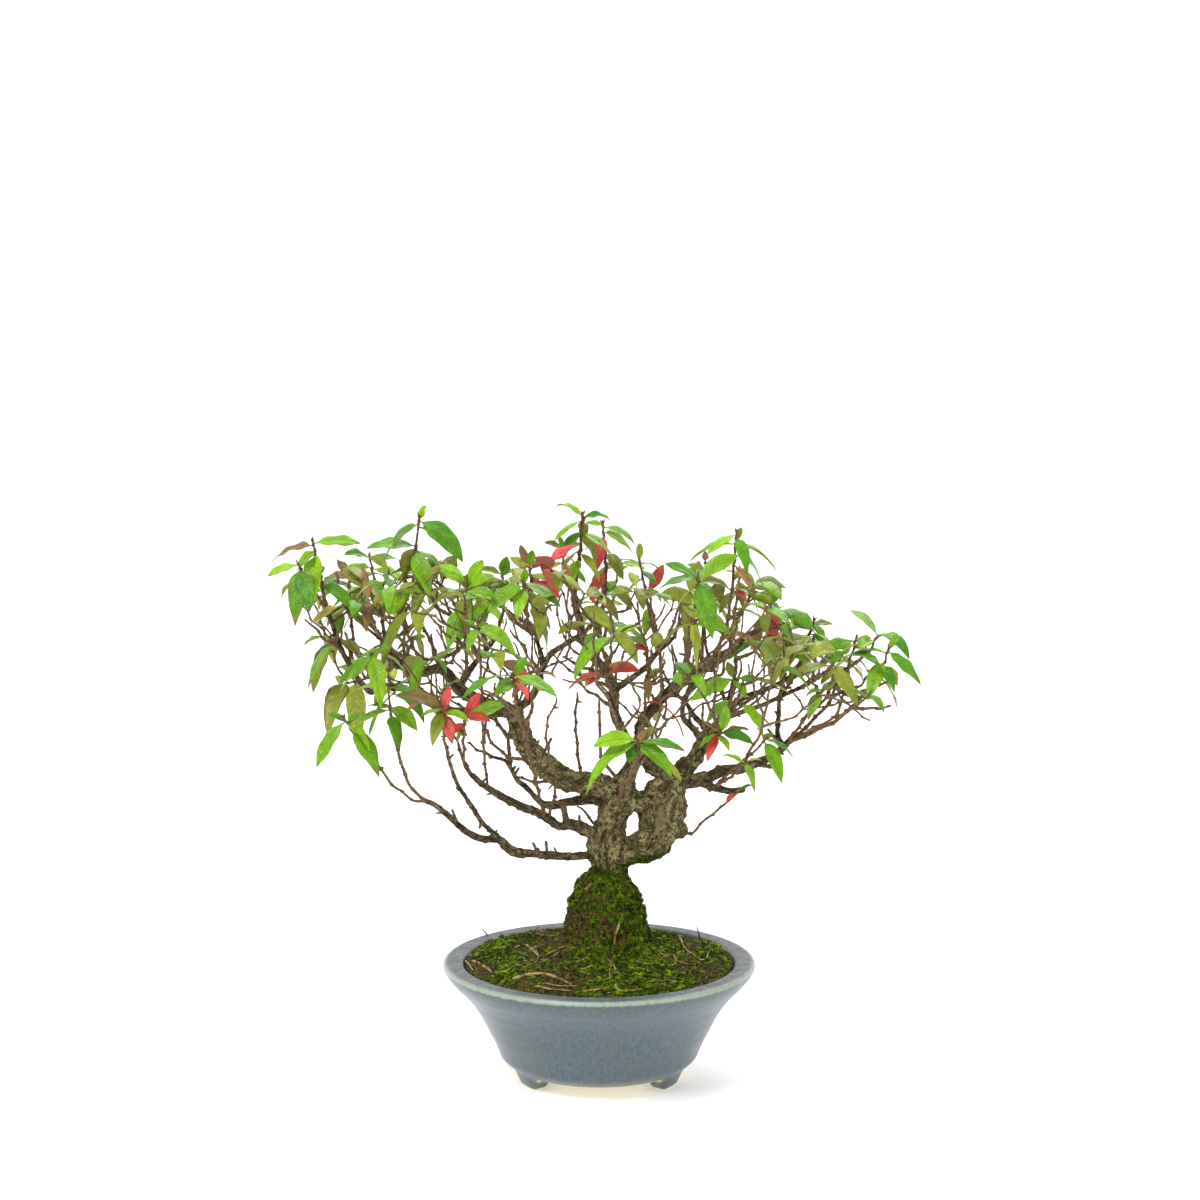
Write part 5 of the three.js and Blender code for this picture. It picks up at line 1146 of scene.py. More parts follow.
def mound_aside(radius):
    """How far the soil's own axis stands to the side at a radius: most in the middle."""
    return MOUND_CENTRE * np.maximum(0, 1 - radius / MOUND_REACH)


def soil_points(radius, height, angle):
    """The solids' soil surface: the profile turned round an axis that leans to the mound's
    own middle, with its lumps."""
    lump = soil_lumps(radius, angle)
    slope = smoothstep(10.3, 12, radius) * (radius < MOUND_REACH)
    wide = radius + slope * lump * LUMP_ASIDE
    return np.stack([mound_aside(radius) + wide * np.cos(angle), wide * np.sin(angle),
                     height + lump * LUMP_UP], -1)


def soil_level(x, y):
    """The soil's height over a point of the ground plan, without its crumbs."""
    radius = np.hypot(x, y)
    for _ in range(4):
        radius = np.hypot(x - mound_aside(radius), y)
    height = np.interp(radius, SOIL_TOP[:, 0], SOIL_TOP[:, 1])
    return height + soil_lumps(radius, np.arctan2(y, x)) * LUMP_UP


def with_bells(values, points, spots):
    """Values raised round picture points: each by its height times a bell of its reach."""
    u, v = picture_point(points)
    for spot_u, spot_v, reach, height in spots:
        values = values + height * np.exp(-((u - spot_u) ** 2 + (v - spot_v) ** 2) / reach ** 2)
    return values


def moss_share(points):
    """How much moss grows at each point: layered noise, more or less of it in patches given
    by picture points."""
    share = 0.09 + 0.5 * layered_noise(points, 9, 2, 301) + 0.95 * layered_noise(points, 3, 3, 307)
    return smoothstep(-0.2, 0.35, with_bells(share, points, MOSS_PATCHES))


def grid_normals(points):
    """The outward normal at each point of a grid of rings, and how much surface the point
    stands for: the cross product of the grid's two directions, and its length."""
    down = np.gradient(points, axis=0)
    around = np.roll(points, -1, axis=1) - np.roll(points, 1, axis=1)
    across = np.cross(down, around)
    return norm(across), np.linalg.norm(across, axis=-1) / 2


def soil_grid():
    """The soil's top in fine rings, moved out along its normals by clods, by moss cushions
    where moss grows and by crumbs where it doesn't; then plain rings down the pot's inside."""
    profile = softened(SOIL_TOP, arc_of(SOIL_TOP), SOIL_STEP, SOIL_ROUNDING)[1:]
    angle = 2 * np.pi * np.arange(SOIL_SECTORS) / SOIL_SECTORS
    smooth = soil_points(profile[:, :1], profile[:, 1:], angle[None])
    normals = grid_normals(smooth)[0]
    moss = moss_share(smooth)
    clods = 0.9 * layered_noise(smooth, 7, 3, 17) + 0.7 * layered_noise(smooth, 3, 2, 23)
    cushion = moss * (0.5 + 1.1 * layered_noise(smooth, 2.1, 2, 29))
    clods = with_bells(clods, smooth, SOIL_RISES)
    crumbs = (1 - moss) * 0.9 * layered_noise(smooth, 1.7, 2, 37)
    quiet = smoothstep(73, 69, profile[:, :1])
    top = smooth + normals * ((clods + cushion + crumbs) * (0.25 + 0.75 * quiet))[..., None]
    wall = np.stack([SOIL_WALL[:, :1] * np.cos(angle), SOIL_WALL[:, :1] * np.sin(angle),
                     SOIL_WALL[:, 1:] + 0 * angle], -1)
    rings = np.concatenate([top, wall])
    quads, first, last = ring_faces(len(rings), SOIL_SECTORS)
    shape = rings.reshape(-1, 3), [quads[:, ::-1], first[:, ::-1], last[:, ::-1]]
    share = np.concatenate([moss, np.zeros(wall.shape[:2])]).ravel()
    normals, area = grid_normals(top)
    return shape, share, (top.reshape(-1, 3), normals.reshape(-1, 3), area.ravel(), moss.ravel())


def scatter(points, normals, weights, count):
    """Seeded places on a surface: points picked in proportion to their weights, each moved a
    little along the surface."""
    pick = rng.choice(len(points), count, p=weights / weights.sum())
    shift = rng.normal(0, 0.25, (count, 3))
    across = normals[pick]
    shift -= across * (shift * across).sum(1, keepdims=True)
    return points[pick] + shift, across, pick


def tuft(blades):
    """A tuft of moss: three-sided spikes leaning out round a normal, one millimetre high."""
    turn = 2 * np.pi * (np.arange(blades) * 0.382)
    lean = 0.25 + 0.75 * np.sqrt(np.arange(blades) / blades)
    height = 1.1 - 0.45 * lean
    shapes = []
    for i in range(blades):
        foot = np.array([math.cos(turn[i]), math.sin(turn[i]), 0]) * 0.25 * lean[i]
        tip = np.array([math.cos(turn[i]) * lean[i], math.sin(turn[i]) * lean[i], height[i]])
        corner = 2 * np.pi * np.arange(3) / 3 + turn[i]
        ring = foot + 0.2 * np.stack([np.cos(corner), np.sin(corner), 0 * corner], -1)
        faces = np.array([[0, 1, 3], [1, 2, 3], [2, 0, 3], [2, 1, 0]])
        shapes.append((np.vstack([ring, tip]), [faces]))
    return joined(shapes)


def moss_tufts(points, normals, weights, count, least, most):
    """Tufts over a surface, and for each point of them a shade and the height up the tuft."""
    template, faces = tuft(6)
    places, across, _ = scatter(points, normals, weights, count)
    clump = 0.5 + 0.5 * layered_noise(places, 3.6, 2, 83)
    sizes = least + (most - least) * np.clip(0.7 * clump + rng.uniform(-0.1, 0.5, count), 0, 1)
    frames = frames_on(norm(across + [0, 0, 0.35]), rng.uniform(0, FULL_TURN, count))
    shape = copies(template, faces, places - across * 0.25, frames, sizes)
    shade = smoothstep(0.3, 0.95, 0.8 * clump + rng.uniform(-0.2, 0.5, count))
    return shape, np.repeat(shade, len(template)), np.tile(template[:, 2], count)


def strand(points, radius, sides=5, wander=0.4):
    """A root or straw through points that lie on the soil, thin at its ends, with small
    seeded bends."""
    path = {"point": points, "radius": np.full(len(points), radius)}
    centres = rounded(path, TWIG_STEP, 1.6)[0]
    share = np.linspace(0, 1, len(centres))
    bend = np.stack([layered_noise(centres + shift, 3.5, 2, 91) for shift in (0, 40)], -1)
    centres = centres + np.column_stack([bend * wander, np.zeros(len(centres))])
    thick = radius * (1 - 0.6 * share) * (1 + 0.18 * layered_noise(centres, 2, 2, 93))
    return tube(centres, thick * smoothstep(-0.04, 0.05, share), sides)


def on_soil(x, y, above):
    return np.stack([x, y, soil_level(x, y) + above], -1)


def place_on_soil(spots):
    """The points that picture points stand for on the soil: the first place along each sight
    line, taken in half millimetres of depth, that lies under the soil, or where none does the
    place that comes nearest to it."""
    spots = np.array(spots, float)
    sight = sight_line(spots[:, 0], spots[:, 1])
    depths = np.arange(-76, 76, 0.5)
    lines = EYE + sight[:, None] * ((depths - EYE[1]) / sight[:, 1:2])[..., None]
    above = np.maximum(lines[..., 2] - soil_level(lines[..., 0], lines[..., 1]), 0)
    return lines[np.arange(len(spots)), above.argmin(1)]


BARE_ROOTS = [
    # radius and path of the bare roots, the stoutest ones those of the solids
    [1.25, "-47 52, -38 54.5, -29 55, -21 52, -15 49"], [0.9, "-69 62, -64 60, -59 56.5, -57 52"],
    [0.6, "-71 65, -64 66, -57 64"], [0.75, "-40 71, -36 68, -33 64.5"],
    [0.8, "1.5 65, 7 61, 5.5 57, 6 53.5"], [0.6, "7 61, 9 57.5, 11.5 54.5"],
    [0.7, "-22 60.5, -11 61.5, -7 64, 8 68"], [0.9, "7 52, 9 48, 12 45, 23 46.5"],
    [0.7, "-10 45.5, -1 46.5, 8 48"], [0.8, "40 67, 42 62, 49 60, 57 60.5"],
    [0.5, "30 49, 39 50, 49 51.5"], [0.55, "26 47.5, 28.5 52, 36.5 51"], [0.7, "44 75, 46 70, 49 66.5"],
    [0.5, "57 60, 63 62, 68 66"], [0.45, "-30 50, -22 48.5, -12 48.5"],
    [0.7, "-35 48.5, -26 46.5, -14 45.6"], [0.9, "9 76, 10 80, 12 84, 13 88"],
    [0.7, "8 71, 8.5 74, 9.5 78"], [0.6, "-8 101, -5 102.5, -3 106"], [0.5, "-3 60, -9 57.5, -16 59"],
    [0.5, "20 62, 27 60, 33 62"], [0.5, "-52 56, -45 60, -37 60"], [0.45, "-28 66, -20 70, -13 69"],
]
STRAWS = [
    # picture points, and height over the soil at each end
    [[-21, 79.7], [-19, 85], [0.3, 2]], [[-46, 69.5], [-43, 70], [0.6, 1.2]],
    [[48, 68], [55, 62.5], [0.5, 0.8]], [[55, 62.5], [58.5, 62.7], [0.8, 0.9]],
    [[58.5, 62.7], [59.5, 67], [0.9, 1.8]], [[-73, 62.5], [-69, 57], [0.5, 0.8]],
]
DRY_TWIGS = [[[-60, 75], [-64, 80], [0.2, 2.4]], [[55, 74], [53, 81], [0.2, 4]],
             [[-36, 78], [-33, 81], [0.3, 1]]]
LOOSE_ROOTS = 60
LOOSE_STRAWS = 45
GRAINS = 460


def root_shapes():
    """The bare roots of the picture and thinner ones between them, half sunk in the soil."""
    shapes = []
    for thick, text in BARE_ROOTS:
        laid = place_on_soil(spots_of(text)) + [0, -0.15, 0.5 + 0.3 * thick]
        shapes.append(strand(laid, thick, 6))
    for _ in range(LOOSE_ROOTS):
        angle, radius = any_angle(), rng.uniform(28, 66)
        length, heading = rng.uniform(5, 15), any_angle()
        along = np.linspace(0, 1, 5)
        bend = rng.uniform(-1, 1) * along ** 2 * length * 0.4
        x = radius * math.cos(angle) + math.cos(heading) * along * length - math.sin(heading) * bend
        y = radius * math.sin(angle) + math.sin(heading) * along * length + math.cos(heading) * bend
        if np.hypot(x, y).max() < 69:
            shapes.append(strand(on_soil(x, y, 0.45), rng.uniform(0.22, 0.42), 5))
    return shapes


def leaning_bits(rows, radius):
    """Short stiff bits that lie or stand on the soil between two picture points."""
    shapes = []
    for start, end, above in rows:
        ends = place_on_soil([start, start])
        reach = np.array(end, float) - start
        ends[1] = on_soil(ends[0, 0] + reach[0], ends[0, 1], 0)
        ends[1, 2] = ends[0, 2] + max(reach[1], 0) + above[1] * 0.2
        ends[0, 2] += above[0]
        if reach[1] < 3:
            ends[1] = place_on_soil([end])[0] + [0, 0, above[1]]
        middle = ends.mean(0) + [0.3, 0, 0.3]
        shapes.append(strand(np.array([ends[0], middle, ends[1]]), radius, 5, 0.15))
    return shapes


def loose_bits(count):
    """Short straws at seeded places and headings, lying over the soil."""
    shapes = []
    for _ in range(count):
        angle, radius = any_angle(), rng.uniform(26, 69)
        heading, length = any_angle(), rng.uniform(1.5, 4.5)
        along = np.linspace(-0.5, 0.5, 3) * length
        x = radius * math.cos(angle) + math.cos(heading) * along
        y = radius * math.sin(angle) + math.sin(heading) * along
        if np.hypot(x, y).max() < 70:
            rise = rng.uniform(0, 0.7) * np.array([0, 0.5, 1])
            shapes.append(strand(on_soil(x, y, 0.6 + rise), rng.uniform(0.14, 0.26), 4, 0.3))
    return shapes


def grit(points, normals, moss, count):
    """Small stones and crumbs of bark: burrs, squashed and turned, where no moss grows."""
    template, faces = burr(np.zeros(3), 1.0, 4, 6)
    places, across, _ = scatter(points, normals, (1.05 - moss) ** 2, count)
    squash = rng.uniform(0.5, 1, (count, 1, 3))
    frames = frames_on(across, rng.uniform(0, FULL_TURN, count)) * squash
    sizes = rng.uniform(0.35, 0.95, count)
    shape = copies(template, faces, places, frames, sizes)
    return shape, np.repeat(rng.uniform(0, 1, count), len(template))


# The pot

POT_SECTORS = 144
POT_ROWS = [
    # radius, height and, as far as they aren't 0, lip, top of rim, clay and inside
    [6.5, 7, 0, 0, 1], [30, 7, 0, 0, 1], [44.6, 7, 0, 0, 1], [46.4, 7.3, 0, 0, 1], [48.4, 8.4],
    [50.6, 9.9], [52.6, 11.6], [54.1, 13.8], [55.2, 17], [58, 23], [61.5, 30.5], [66, 38.7], [71, 46],
    [75.6, 51], [79.5, 54.8], [82.8, 58.8], [84.4, 61.4, 0.06], [84.9, 62.5, 0.6], [85, 63.4, 1],
    [84.6, 64.4, 1], [83.6, 65, 0.6, 0.4], [81.5, 65, 0, 1], [76, 65, 0, 1], [74.4, 64.7, 0.25, 0.8],
    [73.7, 63.4, 0.1, 0.2, 0, 0.6], [72.9, 61.8, 0, 0, 0, 1], [66, 48.5, 0, 0, 0, 1],
    [52, 27, 0, 0, 0, 1], [47.4, 14.6, 0, 0, 0.6, 1], [45.6, 13, 0, 0, 1, 1], [6.5, 13, 0, 0, 1, 1],
]
POT_PROFILE = np.array([row + [0] * (6 - len(row)) for row in POT_ROWS])


def foot_share(radius, angle):
    """1 on a foot's flat sole, falling to 0 over a few millimetres all round it."""
    nearest = np.abs((angle[..., None] - FOOT_DIRECTIONS + math.pi) % (2 * math.pi) - math.pi).min(-1)
    wide = 1 - smoothstep(5.4, FOOT_HALF_WIDTH + 3.4, nearest * FOOT_RADIUS)
    deep = 1 - smoothstep(3.4, FOOT_DEPTH + 0.8, np.abs(radius - FOOT_RADIUS - 0.4))
    return wide * deep


def pot_shape():
    """The pot's profile turned round its axis. Its underside is drawn down to the foot plane
    in three feet that run smoothly into the wall's lower edge."""
    rows = softened(POT_PROFILE, arc_of(POT_PROFILE[:, :2]), 1.0, 0.7)
    rows[:, 0] *= RIM_RADIUS / rows[:, 0].max()
    rows[:, 1] *= POT_HEIGHT / rows[:, 1].max()
    angle = 2 * np.pi * np.arange(POT_SECTORS) / POT_SECTORS
    radius = rows[:, :1] + 0 * angle
    under = (1 - rows[:, 5:]) * (1 - smoothstep(9, 14, rows[:, 1:2]))
    foot = foot_share(radius, angle + 0 * radius) * under
    throw = 0.22 * lattice_noise(np.stack([radius / 30, rows[:, 1:2] / 7 + 0 * angle, 0 * radius], -1), 3)
    throw = throw * smoothstep(14, 22, rows[:, 1:2]) * smoothstep(64, 56, rows[:, 1:2])
    height = rows[:, 1:2] * (1 - foot)
    points = np.stack([(radius + throw) * np.cos(angle), (radius + throw) * np.sin(angle), height], -1)
    lip, top, clay = (rows[:, k:k + 1] + 0 * angle for k in (2, 3, 4))
    sole = (foot > 0.02) * (1 - smoothstep(0.3, 1.5, height))
    clay = np.maximum(clay * (1 - smoothstep(0.02, 0.3, foot) * (radius > 34)), sole)
    quads = ring_faces(len(rows) + 1, POT_SECTORS)[0] % radius.size
    layers = {"lip": lip, "rim_top": top, "clay": clay}
    return (points.reshape(-1, 3), [quads]), {key: value.ravel() for key, value in layers.items()}


NET_BARS = 9
NET_BAR = 0.8


def net_shape():
    """The drain screen: two layers of square bars that cross in its own box in the frame."""
    low, high = in_millimetres(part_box("drain_screen"))
    shapes = []
    for turn in (0, 1):
        for share in np.linspace(0, 1, NET_BARS):
            at = low[turn] + NET_BAR / 2 + share * (high[turn] - low[turn] - NET_BAR)
            ends = np.zeros((2, 3))
            ends[:, turn] = at
            ends[:, 1 - turn] = [low[1 - turn] + NET_BAR / 4, high[1 - turn] - NET_BAR / 4]
            ends[:, 2] = (low[2] + high[2]) / 2 + (turn - 0.5) * 0.4
            shapes.append(tube(ends, [NET_BAR / 2, NET_BAR / 2], 8))
    return joined(shapes)


# Shaders: a node with its settings and inputs, and groups that several materials share

def plug(tree, value, socket):
    """Links a node's output to the socket, or sets the socket to a plain value."""
    if isinstance(value, bpy.types.NodeSocket):
        tree.links.new(value, socket)
    else:
        socket.default_value = value


def add_node(tree, kind, inputs=None, **settings):
    """A node of the kind. Each input is given a socket to link or a plain value."""
    made = tree.nodes.new(kind)
    for name, value in settings.items():
        setattr(made, name, value)
    for name, value in (inputs or {}).items():
        plug(tree, value, made.inputs[name])
    return made


def blend(tree, share, first, second):
    inputs = {0: share, 6: first, 7: second}
    return add_node(tree, "ShaderNodeMix", inputs, data_type="RGBA").outputs[2]


def sums(tree, operation, first, second=0.5):
    return add_node(tree, "ShaderNodeMath", {0: first, 1: second}, operation=operation).outputs[0]


def times(tree, first, second):
    return sums(tree, "MULTIPLY", first, second)


def centred(tree, value):
    """The value less a half, so that noise swings round nought."""
    return sums(tree, "SUBTRACT", value)


def ramp(tree, value, low, high, to_low=0.0, to_high=1.0):
    inputs = {0: value, 1: low, 2: high, 3: to_low, 4: to_high}
    return add_node(tree, "ShaderNodeMapRange", inputs, interpolation_type="SMOOTHSTEP").outputs[0]


def noise(tree, vector, scale, detail=3.0, roughness=0.6):
    inputs = {"Vector": vector, "Scale": scale, "Detail": detail, "Roughness": roughness}
    return add_node(tree, "ShaderNodeTexNoise", inputs).outputs["Fac"]


def layer(tree, name, kind="Fac"):
    return add_node(tree, "ShaderNodeAttribute", attribute_name=name).outputs[kind]


def shaded(red, green, blue):
    return (*colour(red, green, blue), 1)


def new_group(name, inputs, outputs):
    group = bpy.data.node_groups.new(name, "ShaderNodeTree")
    for label, kind in inputs:
        group.interface.new_socket(label, in_out="INPUT", socket_type=kind)
    for label, kind in outputs:
        group.interface.new_socket(label, in_out="OUTPUT", socket_type=kind)
    start = group.nodes.new("NodeGroupInput").outputs
    return group, start, group.nodes.new("NodeGroupOutput")


VECTOR, COLOUR, VALUE = "NodeSocketVector", "NodeSocketColor", "NodeSocketFloat"


def mottle_group():
    """A colour made lighter and darker by noise of one scale; puts out the noise as height."""
    sockets = [("Place", VECTOR), ("Colour", COLOUR), ("Scale", VALUE), ("Amount", VALUE)]
    group, start, end = new_group("mottle", sockets, [("Colour", COLOUR), ("Height", VALUE)])
    cloud = noise(group, start["Place"], start["Scale"], 4.0)
    swing = times(group, centred(group, cloud), start["Amount"])
    factor = sums(group, "ADD", times(group, swing, 2.0), 1.0)
    scaled = add_node(group, "ShaderNodeVectorMath", {0: start["Colour"], "Scale": factor},
                      operation="SCALE")
    group.links.new(scaled.outputs[0], end.inputs["Colour"])
    group.links.new(cloud, end.inputs["Height"])
    return group


def fleck_group():
    """Flecks of a second colour where noise rises over a level; puts out where they are."""
    sockets = [("Place", VECTOR), ("Colour", COLOUR), ("Fleck", COLOUR), ("Scale", VALUE),
               ("Level", VALUE)]
    group, start, end = new_group("flecks", sockets, [("Colour", COLOUR), ("Mask", VALUE)])
    cloud = noise(group, start["Place"], start["Scale"], 2.0)
    over = ramp(group, cloud, start["Level"], sums(group, "ADD", start["Level"], 0.06))
    group.links.new(blend(group, over, start["Colour"], start["Fleck"]), end.inputs["Colour"])
    group.links.new(over, end.inputs["Mask"])
    return group


def crust_group():
    """Two colours in crumbs: coarse noise plus fine noise at three times the scale, drawn
    apart by a steep ramp round one half; puts out the sum as height too."""
    sockets = [("Place", VECTOR), ("Dark", COLOUR), ("Light", COLOUR), ("Scale", VALUE),
               ("Spread", VALUE)]
    group, start, end = new_group("crust", sockets, [("Colour", COLOUR), ("Height", VALUE)])
    coarse = times(group, noise(group, start["Place"], start["Scale"], 4.0, 0.7), 0.6)
    fine = noise(group, start["Place"], times(group, start["Scale"], 3.1), 3.0, 0.65)
    both = sums(group, "ADD", coarse, times(group, fine, 0.4))
    share = ramp(group, both, sums(group, "SUBTRACT", 0.5, start["Spread"]),
                 sums(group, "ADD", 0.5, start["Spread"]))
    group.links.new(blend(group, share, start["Dark"], start["Light"]), end.inputs["Colour"])
    group.links.new(both, end.inputs["Height"])
    return group


MOTTLE = mottle_group()
FLECKS = fleck_group()
CRUST = crust_group()


def mottled(tree, place_at, tone, scale, amount):
    inputs = {"Place": place_at, "Colour": tone, "Scale": scale, "Amount": amount}
    return add_node(tree, "ShaderNodeGroup", inputs, node_tree=MOTTLE).outputs


def flecked(tree, place_at, tone, fleck, scale, level):
    inputs = {"Place": place_at, "Colour": tone, "Fleck": fleck, "Scale": scale, "Level": level}
    return add_node(tree, "ShaderNodeGroup", inputs, node_tree=FLECKS).outputs


def crusted(tree, place_at, dark, light, scale, spread):
    inputs = {"Place": place_at, "Dark": dark, "Light": light, "Scale": scale, "Spread": spread}
    return add_node(tree, "ShaderNodeGroup", inputs, node_tree=CRUST).outputs


def new_material(name):
    """A material, its nodes, and the place on the object that its patterns read."""
    material = bpy.data.materials.new(name)
    material.use_nodes = True
    tree = material.node_tree
    at = add_node(tree, "ShaderNodeTexCoord").outputs["Object"]
    return material, tree, at


def finish_with(material, tone, roughness, specular, height=None, depth=0.0003, **plain):
    """The material with its colour, roughness and specular level, a height through a bump, and
    plain values for other sockets."""
    tree = material.node_tree
    skin = tree.nodes["Principled BSDF"]
    plug(tree, tone, skin.inputs["Base Color"])
    plug(tree, roughness, skin.inputs["Roughness"])
    plug(tree, specular, skin.inputs["Specular IOR Level"])
    if height is not None:
        inputs = {"Height": height, "Distance": depth, "Strength": 1.0}
        plug(tree, add_node(tree, "ShaderNodeBump", inputs).outputs[0], skin.inputs["Normal"])
    for name, value in plain.items():
        plug(tree, value, skin.inputs[name.replace("_", " ")])
    return material


def bark_material():
    """Limb bark: brown-grey, olive on the trunk, dark in its pits with painted shade and along
    its grain furrows, with pale lichen, a bare scar and moss; thinner wood turns to the twigs'
    purple brown."""
    material, tree, at = new_material("bark")
    stout = ramp(tree, layer(tree, "girth"), 1.5, 6.5)
    dark = blend(tree, stout, shaded(62, 49, 33), shaded(62, 54, 26))
    light = blend(tree, stout, shaded(150, 130, 102), shaded(186, 174, 122))
    crust = crusted(tree, at, dark, light, 430.0, 0.09)
    patch = ramp(tree, noise(tree, at, 90.0, 3.0), 0.42, 0.62, 0.0, 0.6)
    tone = blend(tree, patch, crust["Colour"], blend(tree, stout, shaded(72, 58, 44), shaded(92, 78, 48)))
    flow = layer(tree, "flow", "Vector")
    grain = mottled(tree, flow, tone, 1.1, 1.3)
    furrow = ramp(tree, noise(tree, flow, 0.3, 4.0), 0.49, 0.4, 0.0, 0.6)
    # the dark in the pits is painted shade in the bark's sunk places; the furrow streaks along the grain
    # are the bark's own dark lines
    deep = sums(tree, "MAXIMUM", times(tree, layer(tree, "pits"), 0.8), furrow)
    tone = blend(tree, deep, grain["Colour"], shaded(44, 36, 20))
    scar = times(tree, layer(tree, "scar"), ramp(tree, grain["Height"], 0.3, 0.55))
    tone = blend(tree, times(tree, scar, 0.8), tone, shaded(158, 146, 106))
    green = mottled(tree, at, shaded(68, 84, 18), 900.0, 1.1)["Colour"]
    broken = sums(tree, "ADD", layer(tree, "moss"), centred(tree, noise(tree, at, 480.0, 4.0)))
    tone = blend(tree, ramp(tree, broken, 0.3, 0.75), tone, green)
    height = sums(tree, "ADD", grain["Height"], times(tree, crust["Height"], 1.6))
    return finish_with(material, tone, 0.9, 0.2, height, 0.0012)


def twig_material():
    """Twig bark: purple brown with pale pores, redder where it is young."""
    material, tree, at = new_material("twig_bark")
    young = layer(tree, "young")
    dark = blend(tree, young, shaded(52, 40, 28), shaded(84, 56, 40))
    light = blend(tree, young, shaded(140, 121, 82), shaded(146, 110, 74))
    crust = crusted(tree, at, dark, light, 620.0, 0.13)
    tone = mottled(tree, at, crust["Colour"], 200.0, 0.6)["Colour"]
    return finish_with(material, tone, 0.8, 0.3, crust["Height"], 0.0008)


def leaf_material():
    """A leaf: its own tint, a pale midrib, side veins that run forward to the edge, fine
    mottling and a few brown specks; glossy above."""
    material, tree, at = new_material("leaf")
    uv = add_node(tree, "ShaderNodeUVMap", uv_map="leaf").outputs[0]
    parts = add_node(tree, "ShaderNodeSeparateXYZ", {0: uv}).outputs
    aside = sums(tree, "ABSOLUTE", sums(tree, "SUBTRACT", parts["X"], 0.5))
    midrib = ramp(tree, aside, 0.006, 0.035, 1.0, 0.0)
    forward = sums(tree, "SUBTRACT", parts["Y"], times(tree, aside, 0.42))
    wave = sums(tree, "SINE", times(tree, forward, 58.0))
    vein = ramp(tree, wave, 0.8, 1.0)
    tone = mottled(tree, at, layer(tree, "tint", "Color"), 220.0, 0.7)["Colour"]
    tone = mottled(tree, at, tone, 1700.0, 0.16)["Colour"]
    specks = flecked(tree, at, tone, shaded(128, 96, 52), 620.0, 0.71)
    top = layer(tree, "top")
    lines = sums(tree, "MAXIMUM", times(tree, midrib, 0.36), times(tree, vein, 0.1))
    tone = blend(tree, lines, specks["Colour"], shaded(178, 196, 96))
    gloss = ramp(tree, top, 0.3, 0.8, 0.6, 0.33)
    puff = sums(tree, "SUBTRACT", times(tree, noise(tree, at, 420.0), 1.1),
                times(tree, sums(tree, "MAXIMUM", vein, midrib), 0.5))
    return finish_with(material, tone, gloss, 0.36, puff, 0.0006)


def glaze_material():
    """Blue-grey glaze run in faint upright streaks, celadon where it thins at the lip,
    violet-grey on the rim, brown specks, an olive-brown line along the lip's edges that is partly
    the glaze's own and partly painted shadow under the lip, and bare clay underneath."""
    material, tree, at = new_material("glaze")
    upright = add_node(tree, "ShaderNodeMapping", {"Vector": at, "Scale": (1, 1, 0.07)}).outputs[0]
    streak = noise(tree, upright, 620.0, 4.0)
    body = blend(tree, ramp(tree, streak, 0.36, 0.64), shaded(78, 94, 104), shaded(94, 109, 115))
    cloud = ramp(tree, noise(tree, at, 40.0, 3.0), 0.45, 0.7, 0.0, 0.35)
    body = blend(tree, cloud, body, shaded(98, 104, 100))
    body = mottled(tree, at, body, 1300.0, 0.4)["Colour"]
    body = flecked(tree, at, body, shaded(92, 84, 70), 1000.0, 0.63)["Colour"]
    lip = layer(tree, "lip")
    broken = sums(tree, "ADD", lip, times(tree, centred(tree, noise(tree, upright, 420.0)), 0.7))
    lip_share = ramp(tree, broken, 0.35, 0.95)
    # the band on both sides of the lip and at the rim's inner edge: partly the glaze's own darker line,
    # partly painted shadow under the lip's overhang
    ring = times(tree, ramp(tree, lip, 0.01, 0.1), ramp(tree, lip, 0.5, 0.2))
    rim = blend(tree, ramp(tree, noise(tree, at, 210.0, 4.0), 0.36, 0.64), shaded(88, 90, 87),
                shaded(112, 122, 135))
    body = blend(tree, layer(tree, "rim_top"), body, rim)
    # that band laid on in olive-brown: partly glaze colour, partly painted shadow under the lip
    body = blend(tree, times(tree, ring, 0.5), body, shaded(98, 92, 66))
    body = blend(tree, times(tree, lip_share, 0.9), body, shaded(168, 184, 166))
    clay = layer(tree, "clay")
    edge = times(tree, ramp(tree, clay, 0.03, 0.3), ramp(tree, clay, 0.9, 0.45))
    bare = mottled(tree, at, shaded(226, 216, 180), 700.0, 0.15)["Colour"]
    body = blend(tree, ramp(tree, clay, 0.35, 0.6), body, bare)
    body = blend(tree, times(tree, edge, 0.6), body, shaded(140, 138, 84))
    rough = sums(tree, "MAXIMUM", ramp(tree, clay, 0.3, 0.7, 0.3, 0.85),
                 times(tree, layer(tree, "rim_top"), 0.6))
    return finish_with(material, body, rough, 0.5, noise(tree, at, 500.0, 2.0), 0.00006)


def soil_material():
    """Dark crumbly earth, and green moss where the moss layer says so."""
    material, tree, at = new_material("soil")
    earth = crusted(tree, at, shaded(22, 19, 6), shaded(100, 92, 38), 420.0, 0.1)["Colour"]
    earth = flecked(tree, at, earth, shaded(168, 142, 82), 900.0, 0.62)["Colour"]
    green = crusted(tree, at, shaded(28, 32, 6), shaded(104, 132, 18), 330.0, 0.1)["Colour"]
    share = sums(tree, "ADD", layer(tree, "moss"), centred(tree, noise(tree, at, 650.0)))
    tone = blend(tree, ramp(tree, share, 0.35, 0.65), earth, green)
    return finish_with(material, tone, 0.95, 0.15, noise(tree, at, 1400.0, 4.0), 0.0012)


